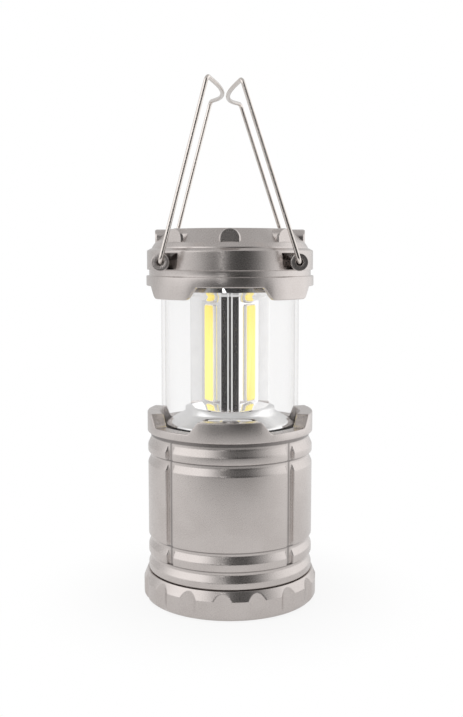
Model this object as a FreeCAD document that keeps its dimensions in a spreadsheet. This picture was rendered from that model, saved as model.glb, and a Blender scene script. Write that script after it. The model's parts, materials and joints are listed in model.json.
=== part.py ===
import FreeCAD, Part
import math
import os
import re

import Sketcher
from FreeCAD import Placement, Rotation, Vector

# Pop-up camping lantern. A clear tube with its light core and cap slides down into the base,
# where the teeth of the cap's skirt drop between the teeth of the base's collar.
# Millimetres and degrees. +Z is up, the origin is the middle of the foot, the front faces -Y.

SIZES = [
    # cells, which set the size of the battery bay
    ("cell_radius", 7.1, "one cell"),
    ("cell_length", 50.5, "one cell with its nub"),
    ("cell_round", 0.8, "rounded edge of a cell"),
    ("nub_radius", 2.75, "positive nub"),
    ("nub_height", 1.0, "positive nub"),
    ("cell_spacing", 0.6, "space between two cells"),
    ("cell_pitch", "2 * cell_radius + cell_spacing", "distance from cell to cell"),
    ("cell_gap", 0.2, "gap above the cells and at their ends"),
    ("spring_room", 5.0, "room for a spring at the flat end of a cell"),
    ("contact_thickness", 0.4, "sheet of the battery contacts"),
    ("contact_half", 4.6, "half width of a contact"),
    ("spring_wire", 0.6, "diameter of the spring wire"),
    ("spring_wide", 4.2, "spring at the contact, centre of the wire"),
    ("spring_narrow", 2.4, "spring at the cell, centre of the wire"),
    ("spring_turns", 3.5, "turns of a battery spring"),
    ("contact_face", "(cell_length + spring_room) / 2", "inner face of the contacts from the middle"),
    # battery tray
    ("tray_wall", 1.5, "end walls that carry the contacts"),
    ("tray_wall_half", "cell_pitch + contact_half + cell_gap", "half length of an end wall"),
    ("tray_end", "contact_face + contact_thickness + tray_wall", "outer face of an end wall"),
    ("cover_floor", 1.8, "thickness of the cover's floor"),
    ("bay_floor_gap", 0.8, "gap under the cells"),
    ("tray_floor_gap", 1.2, "gap under the end walls"),
    ("tray_wall_bottom", "cover_floor + tray_floor_gap", "lower edge of the end walls"),
    ("tray_seat", "cover_floor + bay_floor_gap + 2 * cell_radius + cell_gap", "ledge that the tray lies on"),
    ("cell_level", "tray_seat - cell_gap - cell_radius", "axis of the cells"),
    ("tray_thickness", 2.2, "plate of the tray"),
    ("tray_top", "tray_seat + tray_thickness", "upper face of the tray"),
    ("tray_clearance", 0.2, "gap round the tray"),
    ("tray_ledge", 1.4, "width of the ledge"),
    ("bay_clearance", 0.657, "gap at the corners of the end walls"),
    ("bay_radius", "sqrt(tray_wall_half^2 + tray_end^2) + bay_clearance", "inside of the neck"),
    ("tray_boss_radius", 3.2, "bosses that take the tray's screws"),
    ("tray_boss_sink", 0.3, "how far a boss is sunk into the neck"),
    ("tray_screw_circle", "bay_radius - tray_boss_radius + tray_boss_sink", "tray screws from the middle"),
    ("screw_head", 2.6, "radius of a screw head"),
    ("screw_shank", 1.2, "radius of a screw"),
    ("screw_depth", 9.0, "length of a screw"),
    ("screw_head_height", 1.4, "height of a round screw head"),
    ("screw_clearance", 0.1, "gap round a screw"),
    # base housing
    ("neck_wall", 2.3, "wall of the neck"),
    ("neck_radius", "bay_radius + neck_wall", "neck that goes into the cover"),
    ("neck_length", 9.1, "neck below the lowest rib"),
    ("neck_chamfer", 0.6, "lead-in on the neck"),
    ("bore_radius", "bay_radius + tray_ledge", "bore that the slide ring runs in"),
    ("housing_wall", 1.4, "thinnest wall of the housing"),
    ("shoulder_depth", 1.5, "how far a rib's shoulder falls back"),
    ("shoulder_radius", 9.0, "curve of a rib's shoulder"),
    ("foot_round", 0.8, "round on the lower edge of a rib"),
    ("waist_radius", "bore_radius + housing_wall", "seams between the ribs"),
    ("body_radius", "waist_radius + shoulder_depth", "lands of the ribs and of the front panel"),
    ("tray_rise", 2.4, "ledge above the underside of the lowest rib"),
    ("rib_low_bottom", "tray_seat - tray_rise", "underside of the lowest rib"),
    ("rib_low_height", 8.5, "lowest rib"),
    ("rib_mid_bottom", "rib_low_bottom + rib_low_height", "underside of the second rib"),
    ("rib_mid_height", 9.0, "second rib"),
    ("panel_bottom", "rib_mid_bottom + rib_mid_height", "underside of the tall panel"),
    ("panel_height", 41.3, "tall panel"),
    ("rib_top_bottom", "panel_bottom + panel_height", "underside of the top rib"),
    ("rib_top_height", 8.8, "top rib"),
    ("rib_top_end", "rib_top_bottom + rib_top_height", "where the top rib's shoulder ends"),
    ("housing_lip", 1.1, "edge above the top rib"),
    ("housing_top", "rib_top_end + housing_lip", "top edge of the housing"),
    ("neck_bottom", "rib_low_bottom - neck_length", "lower edge of the neck"),
    ("channel_width", 4.5, "upright channels between the panels"),
    ("channel_count", 4, "upright channels"),
    ("seal_inset", 0.5, "seal groove from the neck and from the rib's edge"),
    ("seal_height", 1.0, "thickness of the seal"),
    # bottom cover and its bayonet
    ("cover_clearance", 0.4, "gap between the cover and the neck"),
    ("cover_wall", 4.1, "wall of the bottom cover"),
    ("cover_radius", "neck_radius + cover_clearance + cover_wall", "outer radius of the bottom cover"),
    ("rim_gap", 0.3, "gap between the cover's rim and the lowest rib"),
    ("cover_height", "rib_low_bottom - rim_gap", "top of the cover's rim"),
    ("cover_chamfer_height", 4.5, "height of the chamfer round the rim"),
    ("cover_wall_top", "cover_height - cover_chamfer_height", "where the wall turns into the chamfer"),
    ("cover_rim_inset", 1.9, "how far the chamfer leans in"),
    ("cover_foot_round", 3.2, "round under the cover's edge"),
    ("scallop_count", 16, "finger scallops round the cover"),
    ("scallop_radius", 7.6, "radius of one scallop"),
    ("scallop_depth", 1.5, "depth of one scallop"),
    ("scallop_turn", 17.6, "turn of the first scallop from +X"),
    ("lug_count", 3, "bayonet lugs on the neck"),
    ("lug_height", 2.0, "height of a lug"),
    ("lug_reach", 1.4, "how far a lug stands out of the neck"),
    ("lug_angle", 24.0, "length of a lug round the neck"),
    ("lug_rise", 2.0, "lugs above the neck's lower edge"),
    ("lug_level", "neck_bottom + lug_rise", "underside of the lugs"),
    ("twist_angle", 25.0, "turn that frees the cover"),
    ("twist_spare", 1.5, "spare turn at each end of the bayonet groove"),
    # collar with its teeth
    ("fit_clearance", 0.05, "gap of pieces that are fitted together"),
    ("tube_step", 3.9, "tube smaller than the bore"),
    ("tube_radius", "bore_radius - tube_step", "clear tube, outside"),
    ("tube_clearance", 0.7, "gap between the tube and the collar"),
    ("collar_proud", 0.2, "collar stands out of the panel"),
    ("collar_radius", "body_radius + collar_proud", "outer radius of the collar"),
    ("collar_inner", "tube_radius + tube_clearance", "opening for the tube"),
    ("tooth_count", 4, "teeth on the collar, and notches in the skirt"),
    ("collar_foot", 3.8, "collar below its teeth"),
    ("tooth_floor", "housing_top + collar_foot", "floor between the collar's teeth"),
    ("tooth_height", 6.0, "height of a tooth"),
    ("tooth_top", "tooth_floor + tooth_height", "top of the collar's teeth"),
    ("tooth_top_angle", 21.4, "half width of a tooth at its top"),
    ("tooth_base_angle", 28.5, "half width of a tooth at its base"),
    ("tooth_round", 1.8, "rounds in the corners of the teeth"),
    # contact rails
    ("rail_thickness", 0.6, "contact rails on the bore"),
    ("rail_angle", 5.0, "width of a contact rail round the bore"),
    ("rail_top_gap", 4.0, "rails end this far below the collar"),
    # head: slide ring, tube, dish
    ("slide_gap", 0.3, "gap round the slide ring, and under the collar"),
    ("slide_ring_thickness", 1.4, "slide ring"),
    ("slide_ring_width", 7.7, "slide ring reaches in under the tube"),
    ("slide_ring_inner", "tube_radius - slide_ring_width", "opening in the slide ring"),
    ("slide_top", "rib_top_end - slide_gap", "upper face of the slide ring"),
    ("slide_bottom", "slide_top - slide_ring_thickness", "lower face of the slide ring"),
    ("travel_spare", 0.3, "gap between the slide ring and the tray when the head is down"),
    ("head_travel", "slide_bottom - tray_top - travel_spare", "how far the head slides down"),
    ("slide_slot_half", 2.0, "half width of the slots that pass the rails"),
    ("wiper_gap", 0.4, "gap between a wiper and its rail"),
    ("tube_wall", 1.8, "wall of the clear tube"),
    ("inner_clearance", 0.3, "gap between the tube and what stands in it"),
    ("inside_tube", "tube_radius - tube_wall - inner_clearance", "edge of the dish and the top reflector"),
    ("notch_gap", 0.4, "gap over a collar tooth when the head is down"),
    ("plate_bottom", "tooth_top + head_travel + notch_gap", "underside of the cap's plate"),
    ("chrome_wall", 1.0, "wall of the chromed mouldings"),
    # reflectors and light strips
    ("panel_count", 3, "light panels round the core"),
    ("panel_turn", -30.0, "turn of the first light panel from +X"),
    ("pan_depth", 10.8, "floor of a reflector from the axis"),
    ("pan_wall", 1.2, "wall of a reflector"),
    ("lobe_circle", 15.8, "centre of the rounded ridge from the axis"),
    ("lobe_radius", 5.2, "radius of the rounded ridge"),
    ("seam_angle", 0.3, "half of the seam between two reflectors"),
    ("strip_width", 8.4, "board of a light strip"),
    ("strip_thickness", 0.8, "board of a light strip"),
    ("strip_end_gap", 0.5, "board ends from the reflector's ends"),
    ("glow_width", 7.2, "glowing layer"),
    ("glow_thickness", 0.6, "glowing layer"),
    ("glow_inset", 0.6, "glowing layer from the board's ends"),
    ("wire_way", 5.5, "hole for the leads"),
    # lower dish and top reflector
    ("dish_rim_height", 5.4, "rim of the lower dish above the slide ring"),
    ("dish_rim", "slide_top + dish_rim_height", "rim of the lower dish"),
    ("dish_step_margin", 1.0, "step of the dish outside the ridges"),
    ("dish_step_radius", "lobe_circle + lobe_radius + dish_step_margin", "step in the lower dish"),
    ("dish_rise", 5.5, "slope from the rim to the step"),
    ("dish_step_low", "dish_rim + dish_rise", "foot of the step"),
    ("dish_step", 2.0, "height of the step"),
    ("dish_step_high", "dish_step_low + dish_step", "top of the step"),
    ("dish_cone_rise", 2.8, "slope from the step to the light panels"),
    ("core_low", "dish_step_high + dish_cone_rise", "where the light panels start"),
    ("dish_slope", "dish_cone_rise / (dish_step_radius - pan_depth)", "slope under the light panels"),
    ("flare_drop", 3.5, "upper flare below the cap's plate"),
    ("flare_rise", 5.0, "height of the upper flare"),
    ("flare_margin", 3.0, "upper flare outside the ridges"),
    ("crown_flare_radius", "lobe_circle + lobe_radius + flare_margin", "end of the upper flare"),
    ("crown_flare_top", "plate_bottom - flare_drop", "height of the upper flare's end"),
    ("core_high", "crown_flare_top - flare_rise", "where the light panels end"),
    ("flare_slope", "flare_rise / (crown_flare_radius - pan_depth)", "slope over the light panels"),
    # cap
    ("skirt_radius", "collar_radius - fit_clearance", "skirt of the cap"),
    ("skirt_floor_gap", 0.6, "gap under a skirt tooth when the head is down"),
    ("skirt_bottom", "plate_bottom - notch_gap - tooth_height + skirt_floor_gap", "lower edge of the skirt"),
    ("notch_side_angle", 1.4, "wider than a tooth by this at the roof"),
    ("notch_mouth_angle", 0.9, "wider than a tooth by this at the mouth"),
    ("skirt_height", 4.8, "skirt above the plate's underside"),
    ("skirt_top", "plate_bottom + skirt_height", "upper edge of the skirt"),
    ("skirt_wall", 2.75, "wall of the skirt"),
    ("cap_inner", "skirt_radius - skirt_wall", "inside of the cap"),
    ("band_groove_depth", 1.35, "groove between the skirt and the band"),
    ("band_groove_radius", "skirt_radius - band_groove_depth", "floor of the groove"),
    ("band_groove_height", 2.9, "groove between the skirt and the band"),
    ("band_bottom", "skirt_top + band_groove_height", "lower edge of the band"),
    ("band_back", 0.35, "band behind the skirt"),
    ("band_radius", "skirt_radius - band_back", "band with the handle bosses"),
    ("band_height", 9.1, "band with the handle bosses"),
    ("band_top", "band_bottom + band_height", "upper edge of the band"),
    ("band_round", 0.9, "round on the band's upper edge"),
    ("crown_rise", 3.7, "slope from the band to the crown"),
    ("crown_bottom", "band_top + crown_rise", "foot of the crown"),
    ("crown_step", 3.9, "crown behind the band"),
    ("crown_foot_radius", "band_radius - crown_step", "crown at its foot"),
    ("crown_taper", 3.8, "crown leans in to its top"),
    ("crown_top_radius", "crown_foot_radius - crown_taper", "crown at its top"),
    ("crown_height", 6.6, "crown"),
    ("crown_top", "crown_bottom + crown_height", "top of the lantern's cap"),
    ("crown_round", 1.2, "round on the crown's upper edge"),
    ("top_rim", 4.1, "rim round the sunk disc"),
    ("top_recess_radius", "crown_top_radius - top_rim", "sunk disc on top"),
    ("top_recess_depth", 1.0, "sunk disc on top"),
    ("cap_wall", 2.2, "wall of the cap"),
    ("cap_ceiling", "crown_top - top_recess_depth - cap_wall", "ceiling inside the cap"),
    ("arch_count", 8, "arched tabs round the crown"),
    ("arch_half", 4.8, "half width of an arched tab"),
    ("arch_back", 0.1, "face of an arched tab behind the crown's foot"),
    ("arch_face", "crown_foot_radius - arch_back", "face of an arched tab from the axis"),
    ("arch_sink", 3.1, "arched tab sunk into the crown"),
    ("arch_root", "crown_top_radius - arch_sink", "where an arched tab starts inside the crown"),
    ("plate_thickness", 2.0, "plate that closes the cap"),
    ("plate_top", "plate_bottom + plate_thickness", "upper face of the plate"),
    ("board_ring_radius", 16.0, "ring that carries the driver board"),
    ("board_ring_height", 2.0, "ring that carries the driver board"),
    ("board_level", "plate_top + board_ring_height", "underside of the driver board"),
    ("board_thickness", 1.6, "driver board"),
    ("cap_boss_radius", 3.2, "screw bosses in the cap"),
    ("cap_boss_gap", 4.8, "gap between the driver board and the screw bosses"),
    ("cap_boss_circle", "board_ring_radius + cap_boss_gap + cap_boss_radius", "screw bosses in the cap"),
    ("cap_screw_count", 3, "screws of the cap's plate"),
    ("cap_screw_turn", 90.0, "turn of the first screw from +X"),
    ("lead_radius", 0.6, "leads to the driver board"),
    ("lead_offset", 3.0, "leads from the axis"),
    ("lead_bend", 3.0, "bend of a lead"),
    # handles and their bosses
    ("pivot_back", 8.8, "handle pivots inside the band"),
    ("pivot_offset", "band_radius - pivot_back", "handle pivots from the middle"),
    ("pivot_rise", 3.8, "handle pivots above the band's lower edge"),
    ("pivot_level", "band_bottom + pivot_rise", "height of the handle pivots"),
    ("boss_radius", 4.0, "handle boss"),
    ("boss_back", 4.8, "face of a boss behind the band"),
    ("boss_face", "band_radius - boss_back", "face of a handle boss from the middle"),
    ("handle_wire", 2.0, "diameter of the handle wire"),
    ("hole_clearance", 0.6, "gap round the wire in a boss"),
    ("boss_hole", "handle_wire / 2 + hole_clearance", "hole in a handle boss"),
    ("boss_hole_depth", 7.0, "depth of the hole"),
    ("pin_gap", 1.5, "gap between the wire's end and the floor of the hole"),
    ("pin_reach", "boss_hole_depth - pin_gap", "wire end inside its boss"),
    ("boss_length", 11.5, "boss in front of the pocket's floor"),
    ("pocket_floor", "boss_face - boss_length", "floor of the pockets"),
    ("pocket_reach", 6.5, "inner side of a pocket from its pivot"),
    ("pocket_side", "pivot_offset - pocket_reach", "inner side of the pockets beside the bosses"),
    ("pocket_half", 3.6, "half height of the pockets"),
    ("leg_gap", 1.2, "gap between a leg and the boss"),
    ("leg_plane", "boss_face + leg_gap + handle_wire / 2", "legs of a handle from the middle"),
    ("leg_length", 84.7, "pivot to the top bend"),
    ("wire_bend", 2.4, "bends of the handle wire"),
    ("bow_point", 10.2, "corner of the bow before it is rounded"),
    ("bow_radius", 100.0, "round in the middle of the bow"),
    ("left_lean", 14.7, "left handle leans in"),
    ("right_lean", 18.0, "right handle leans in"),
]

# A plain number drives the model and stands in the first sheet, a formula is worked out in the second.
SHEETS = {name: "worked" if isinstance(number, str) else "dims" for name, number, meaning in SIZES}
TINY = 1e-4
SIDES = (-1, 1)
PAIR = "2"
SUBPARTS = []

doc = FreeCAD.newDocument("camping_lantern")
dims = doc.addObject("Spreadsheet::Sheet", "dims")
worked = doc.addObject("Spreadsheet::Sheet", "worked")


def terms(formula):
    """The formula with every size name pointing at its cell."""
    def cell(word):
        name = word[0]
        return SHEETS[name] + "." + name if name in SHEETS else name
    return re.sub(r"[a-z_]+", cell, formula)


def value(formula):
    return float(dims.evalExpression(terms(formula)))


def fill_sheets():
    for row, (name, number, meaning) in enumerate(SIZES, start=1):
        sheet = doc.getObject(SHEETS[name])
        sheet.set("A%d" % row, meaning)
        content = "=" + terms(number).replace("worked.", "") if sheet is worked else str(number)
        sheet.set("B%d" % row, content)
        sheet.setAlias("B%d" % row, name)
    doc.recompute()


def bind(thing, formulas):
    for place, formula in formulas.items():
        thing.setExpression(place, terms(formula))


def finish(thing, label):
    thing.Label = label
    SUBPARTS.append(thing)
    return thing


# Sketches and features


def origin_feature(body, role):
    return next(feature for feature in body.Origin.OriginFeatures if feature.Role == role)


def arc_between(start, end, radius, clockwise):
    """The short arc from start to end; arcs are stored anticlockwise."""
    chord = end - start
    left = Vector(-chord.y, chord.x, 0).normalize()
    rise = math.sqrt(max(radius ** 2 - (chord.Length / 2) ** 2, 0))
    centre = (start + end) * 0.5 + left * (-rise if clockwise else rise)
    first, last = (end, start) if clockwise else (start, end)
    low = math.atan2(first.y - centre.y, first.x - centre.x)
    high = math.atan2(last.y - centre.y, last.x - centre.x)
    if high < low:
        high += 2 * math.pi
    return Part.ArcOfCircle(Part.Circle(centre, Vector(0, 0, 1), radius), low, high)


def new_sketch(body, name, plane, lift, turn):
    sketch = body.newObject("Sketcher::SketchObject", name)
    sketch.AttachmentSupport = (origin_feature(body, plane), [""])
    sketch.MapMode = "FlatFace"
    bind(sketch, {"AttachmentOffset.Base.z": lift, "AttachmentOffset.Rotation.Angle": turn})
    return sketch


def hold_point(sketch, geometry, end, place):
    """Tie one point to the two formulas of its place."""
    rules = (("DistanceX", place[0], -2), ("DistanceY", place[1], -1))
    for kind, formula, axis in rules:
        if formula == "0":
            sketch.addConstraint(Sketcher.Constraint("PointOnObject", geometry, end, axis))
        else:
            rule = Sketcher.Constraint(kind, -1, 1, geometry, end, value(formula))
            index = sketch.addConstraint(rule)
            sketch.setExpression("Constraints[%d]" % index, terms(formula))


def outline(body, name, plane, path, lift="0", turn="0"):
    """Closed outline. Each step is (x, y) or (x, y, radius of the arc to the next step).

    A radius with a minus sign bends clockwise.
    """
    sketch = new_sketch(body, name, plane, lift, turn)
    corners = [Vector(value(step[0]), value(step[1]), 0) for step in path]
    curves = []
    ends = []
    for index, step in enumerate(path):
        start, end = corners[index], corners[(index + 1) % len(path)]
        clockwise = len(step) == 3 and step[2].startswith("-")
        if len(step) == 3:
            curves.append(arc_between(start, end, value(step[2].lstrip("-")), clockwise))
        else:
            curves.append(Part.LineSegment(start, end))
        ends.append((2, 1) if clockwise else (1, 2))
    sketch.addGeometry(curves, False)
    for index in range(len(path)):
        last = (index - 1) % len(path)
        sketch.addConstraint(Sketcher.Constraint("Coincident", last, ends[last][1], index, ends[index][0]))
    for index, step in enumerate(path):
        hold_point(sketch, index, ends[index][0], step)
        if len(step) == 3:
            radius = step[2].lstrip("-")
            rule = sketch.addConstraint(Sketcher.Constraint("Radius", index, value(radius)))
            sketch.setExpression("Constraints[%d]" % rule, terms(radius))
    return sketch


def circle_outline(body, name, plane, centre, radius, lift="0", turn="0"):
    sketch = new_sketch(body, name, plane, lift, turn)
    middle = Vector(value(centre[0]), value(centre[1]), 0)
    sketch.addGeometry(Part.Circle(middle, Vector(0, 0, 1), value(radius)), False)
    hold_point(sketch, 0, 3, centre)
    rule = sketch.addConstraint(Sketcher.Constraint("Radius", 0, value(radius)))
    sketch.setExpression("Constraints[%d]" % rule, terms(radius))
    return sketch


def new_body(name):
    return doc.addObject("PartDesign::Body", name)


def feature(body, kind, name, sketch, formulas, reverse=False):
    made = body.newObject("PartDesign::" + kind, name)
    made.Profile = sketch
    made.Reversed = reverse
    bind(made, formulas)
    return made


def turned(name, path, angle="360"):
    """Body turned about Z from an outline of (radius, height) steps."""
    body = new_body(name)
    sketch = outline(body, name + "_outline", "XZ_Plane", path)
    made = body.newObject("PartDesign::Revolution", name + "_turned")
    made.Profile = sketch
    made.ReferenceAxis = (sketch, ["V_Axis"])
    made.Midplane = True
    bind(made, {"Angle": angle})
    return body


def around(body, original, count):
    """Repeat a feature round Z."""
    pattern = body.newObject("PartDesign::PolarPattern", original.Name + "_ring")
    pattern.Originals = [original]
    pattern.Axis = (origin_feature(body, "Z_Axis"), [""])
    pattern.Angle = 360
    bind(pattern, {"Occurrences": count})
    body.Tip = pattern
    return pattern


def level_line(level):
    """Picks straight edges that lie at one height."""
    def wanted(edge):
        heights = [vertex.Point.z for vertex in edge.Vertexes]
        return isinstance(edge.Curve, Part.Line) and all(abs(z - level) < TINY for z in heights)
    return wanted


def round_edges(body, base, name, radius, wanted):
    doc.recompute()
    edges = ["Edge%d" % number for number, edge in enumerate(base.Shape.Edges, start=1) if wanted(edge)]
    rounded = body.newObject("PartDesign::Fillet", name)
    rounded.Base = (base, edges)
    bind(rounded, {"Radius": radius})
    body.Tip = rounded
    return rounded


# Plain solids and booleans


def block(name, low, high):
    box = doc.addObject("Part::Box", name)
    for axis, side, start, end in zip("xyz", ("Length", "Width", "Height"), low, high):
        bind(box, {side: "(%s) - (%s)" % (end, start), "Placement.Base." + axis: start})
    return box


def rod(name, radius, height, base, axis="z"):
    """Cylinder from a base point, along +Z or along +Y."""
    made = doc.addObject("Part::Cylinder", name)
    if axis == "y":
        made.Placement = Placement(Vector(), Rotation(Vector(1, 0, 0), -90))
    places = {"Placement.Base." + letter: formula for letter, formula in zip("xyz", base)}
    bind(made, {"Radius": radius, "Height": height, **places})
    return made


def sector(name, inner, outer, low, height, start, sweep):
    """Part of a ring about Z, from one angle on through a sweep."""
    whole = doc.addObject("Part::Cylinder", name + "_whole")
    turn = {"Placement.Base.z": low, "Placement.Rotation.Angle": start}
    bind(whole, {"Radius": outer, "Height": height, "Angle": sweep, **turn})
    return cut(name, whole, [rod(name + "_middle", inner, height, ("0", "0", low))])


def group(name, pieces):
    made = doc.addObject("Part::Compound", name)
    made.Links = pieces
    return made


def fuse(name, pieces):
    made = doc.addObject("Part::MultiFuse", name)
    made.Shapes = pieces
    return made


def cut(name, base, tools):
    made = doc.addObject("Part::Cut", name)
    made.Base = base
    made.Tool = tools[0] if len(tools) == 1 else fuse(name + "_tools", tools)
    return made


# Wire forms


def arc_from(start, heading, end):
    """Arc that leaves start along heading and ends at end."""
    length = (end - start).Length
    along = (end - start).normalize()
    aside = heading - along * heading.dot(along)
    half_turn = math.acos(max(-1.0, min(1.0, heading.dot(along)))) / 2
    top = (start + end) * 0.5 + aside.normalize() * (length / 2 * math.tan(half_turn))
    return Part.Arc(start, top, end).toShape()


def biarc(start, heading, end, arrival):
    """Two arcs that join two points and meet both headings."""
    step = end - start
    square = 2 * (heading.dot(arrival) - 1)
    middle = 2 * step.dot(heading + arrival)
    reach = (middle - math.sqrt(middle ** 2 - 4 * square * step.dot(step))) / (2 * square)
    joint = (start + end + (heading - arrival) * reach) * 0.5
    first = arc_from(start, heading, joint)
    second = arc_from(end, arrival * -1, joint)
    return [first, second]


def swept(path, start, heading, radius):
    section = Part.Wire([Part.Circle(start, heading, radius).toShape()])
    solid = Part.Wire(path).makePipeShell([section], True, False)
    return solid if solid.ShapeType == "Solid" else Part.Solid(solid)


def bent_path(points, bends):
    """Straight runs with a round of the given radius at every inner corner."""
    edges = []
    last = points[0]
    for before, corner, after, bend in zip(points, points[1:], points[2:], bends):
        toward = (corner - before).normalize()
        away = (after - corner).normalize()
        reach = bend * math.tan(toward.getAngle(away) / 2)
        start, end = corner - toward * reach, corner + away * reach
        edges.append(Part.LineSegment(last, start).toShape())
        edges.append(arc_from(start, toward, end))
        last = end
    edges.append(Part.LineSegment(last, points[-1]).toShape())
    return edges


def bent_wire(points, bends, radius):
    heading = (points[1] - points[0]).normalize()
    return swept(bent_path(points, bends), points[0], heading, radius)


def shaped(name, shape, placement=Placement()):
    made = doc.addObject("Part::Feature", name)
    made.Shape = shape
    made.Placement = placement
    return made


# Screws


def tray_screw(name, side, grow):
    """Countersunk screw whose head is flush with the tray."""
    body = turned(name, [
        ("0", "tray_top - screw_depth"),
        ("screw_shank + " + grow, "tray_top - screw_depth"),
        ("screw_shank + " + grow, "tray_top - screw_head + screw_shank"),
        ("screw_head + " + grow, "tray_top"),
        ("0", "tray_top"),
    ])
    bind(body, {"Placement.Base.x": "%d * tray_screw_circle" % side})
    return body


def cap_screw(name, number, grow):
    """Round-headed screw that comes up through the cap's plate."""
    body = turned(name, [
        ("0", "plate_bottom - screw_head_height"),
        ("screw_head - screw_head_height / 2", "plate_bottom - screw_head_height"),
        ("screw_head", "plate_bottom - screw_head_height / 2"),
        ("screw_head", "plate_bottom"),
        ("screw_shank + " + grow, "plate_bottom"),
        ("screw_shank + " + grow, "plate_bottom + screw_depth"),
        ("0", "plate_bottom + screw_depth"),
    ])
    angle = "cap_screw_turn + %d * 360 / cap_screw_count" % number
    bind(body, {
        "Placement.Base.x": "cap_boss_circle * cos(%s)" % angle,
        "Placement.Base.y": "cap_boss_circle * sin(%s)" % angle,
    })
    return body


# Base


def base_housing(screw_holes):
    rise = "sqrt(shoulder_radius^2 - (shoulder_radius - shoulder_depth)^2)"
    levels = ["rib_low_bottom", "rib_mid_bottom", "panel_bottom", "rib_top_bottom", "rib_top_end"]
    path = [
        ("bay_radius", "neck_bottom"),
        ("neck_radius - neck_chamfer", "neck_bottom"),
        ("neck_radius", "neck_bottom + neck_chamfer"),
        ("neck_radius", "rib_low_bottom"),
        ("neck_radius + seal_inset", "rib_low_bottom"),
        ("neck_radius + seal_inset", "rib_low_bottom + seal_height"),
        ("body_radius - foot_round - fit_clearance", "rib_low_bottom + seal_height"),
        ("body_radius - foot_round - fit_clearance", "rib_low_bottom"),
    ]
    for bottom, top in zip(levels, levels[1:]):
        path.append(("body_radius - foot_round", bottom, "foot_round"))
        path.append(("body_radius", bottom + " + foot_round"))
        path.append(("body_radius", "%s - %s" % (top, rise), "shoulder_radius"))
        path.append(("waist_radius", top))
    path += [
        ("waist_radius", "housing_top"),
        ("bore_radius", "housing_top"),
        ("bore_radius", "tray_seat"),
        ("bay_radius", "tray_seat"),
    ]
    body = turned("base_housing_shell", path)
    place = ("tray_screw_circle", "0")
    boss = circle_outline(body, "tray_boss", "XY_Plane", place, "tray_boss_radius", "tray_seat")
    boss_length = {"Length": "tray_seat - neck_bottom - lug_height"}
    boss_pad = feature(body, "Pad", "tray_boss_pad", boss, boss_length, True)
    around(body, boss_pad, PAIR)
    lug = outline(body, "lug", "XZ_Plane", [
        ("neck_radius - neck_wall / 2", "lug_level"),
        ("neck_radius + lug_reach", "lug_level"),
        ("neck_radius + lug_reach", "lug_level + lug_height"),
        ("neck_radius - neck_wall / 2", "lug_level + lug_height"),
    ])
    lug_turn = body.newObject("PartDesign::Revolution", "lug_turned")
    lug_turn.Profile = lug
    lug_turn.ReferenceAxis = (lug, ["V_Axis"])
    lug_turn.Midplane = True
    bind(lug_turn, {"Angle": "lug_angle"})
    around(body, lug_turn, "lug_count")
    channel = outline(body, "channel", "XY_Plane", [
        ("waist_radius", "-channel_width / 2"),
        ("body_radius + shoulder_depth", "-channel_width / 2"),
        ("body_radius + shoulder_depth", "channel_width / 2"),
        ("waist_radius", "channel_width / 2"),
    ], "rib_mid_bottom", "180 / channel_count")
    channel_length = {"Length": "rib_top_end - rib_mid_bottom"}
    channel_cut = feature(body, "Pocket", "channel_cut", channel, channel_length, True)
    around(body, channel_cut, "channel_count")
    return finish(cut("base_housing", body, screw_holes), "base_housing")


def collar_ring():
    body = turned("collar_ring", [
        ("collar_inner", "rib_top_end"),
        ("bore_radius - fit_clearance", "rib_top_end"),
        ("bore_radius - fit_clearance", "housing_top"),
        ("collar_radius - foot_round", "housing_top", "foot_round"),
        ("collar_radius", "housing_top + foot_round"),
        ("collar_radius", "tooth_top"),
        ("collar_inner", "tooth_top"),
    ])
    pitch = "180 / tooth_count"
    floor_half = "collar_radius * sin(%s - tooth_base_angle)" % pitch
    top_half = "collar_radius * sin(%s - tooth_top_angle)" % pitch
    gap = outline(body, "tooth_gap", "YZ_Plane", [
        ("-(%s)" % floor_half, "tooth_floor"),
        (floor_half, "tooth_floor"),
        (top_half, "tooth_top"),
        (top_half, "tooth_top + foot_round"),
        ("-(%s)" % top_half, "tooth_top + foot_round"),
        ("-(%s)" % top_half, "tooth_top"),
    ])
    gap_cut = feature(body, "Pocket", "tooth_gap_cut", gap, {"Length": "2 * collar_radius"}, True)
    gaps = around(body, gap_cut, "tooth_count")
    floors = round_edges(body, gaps, "tooth_floor_round", "tooth_round", level_line(value("tooth_floor")))
    round_edges(body, floors, "tooth_top_round", "tooth_round", level_line(value("tooth_top")))
    bind(body, {"Placement.Rotation.Angle": pitch})
    return finish(body, "collar_ring")


def seal_ring():
    body = turned("seal_ring", [
        ("neck_radius + seal_inset", "rib_low_bottom"),
        ("body_radius - foot_round - fit_clearance", "rib_low_bottom"),
        ("body_radius - foot_round - fit_clearance", "rib_low_bottom + seal_height"),
        ("neck_radius + seal_inset", "rib_low_bottom + seal_height"),
    ])
    return finish(body, "seal_ring")


def battery_tray(screw_holes):
    plate = turned("tray_plate", [
        ("0", "tray_seat"),
        ("bore_radius - tray_clearance", "tray_seat"),
        ("bore_radius - tray_clearance", "tray_top"),
        ("0", "tray_top"),
    ])
    wall_face = "contact_face + contact_thickness"
    walls = [
        block("tray_wall_front", ("-tray_wall_half", "-tray_end", "tray_wall_bottom"),
              ("tray_wall_half", "-(%s)" % wall_face, "tray_seat")),
        block("tray_wall_back", ("-tray_wall_half", wall_face, "tray_wall_bottom"),
              ("tray_wall_half", "tray_end", "tray_seat")),
    ]
    tray = fuse("tray_body", [plate] + walls)
    return finish(cut("battery_tray", tray, screw_holes), "battery_tray")


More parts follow.
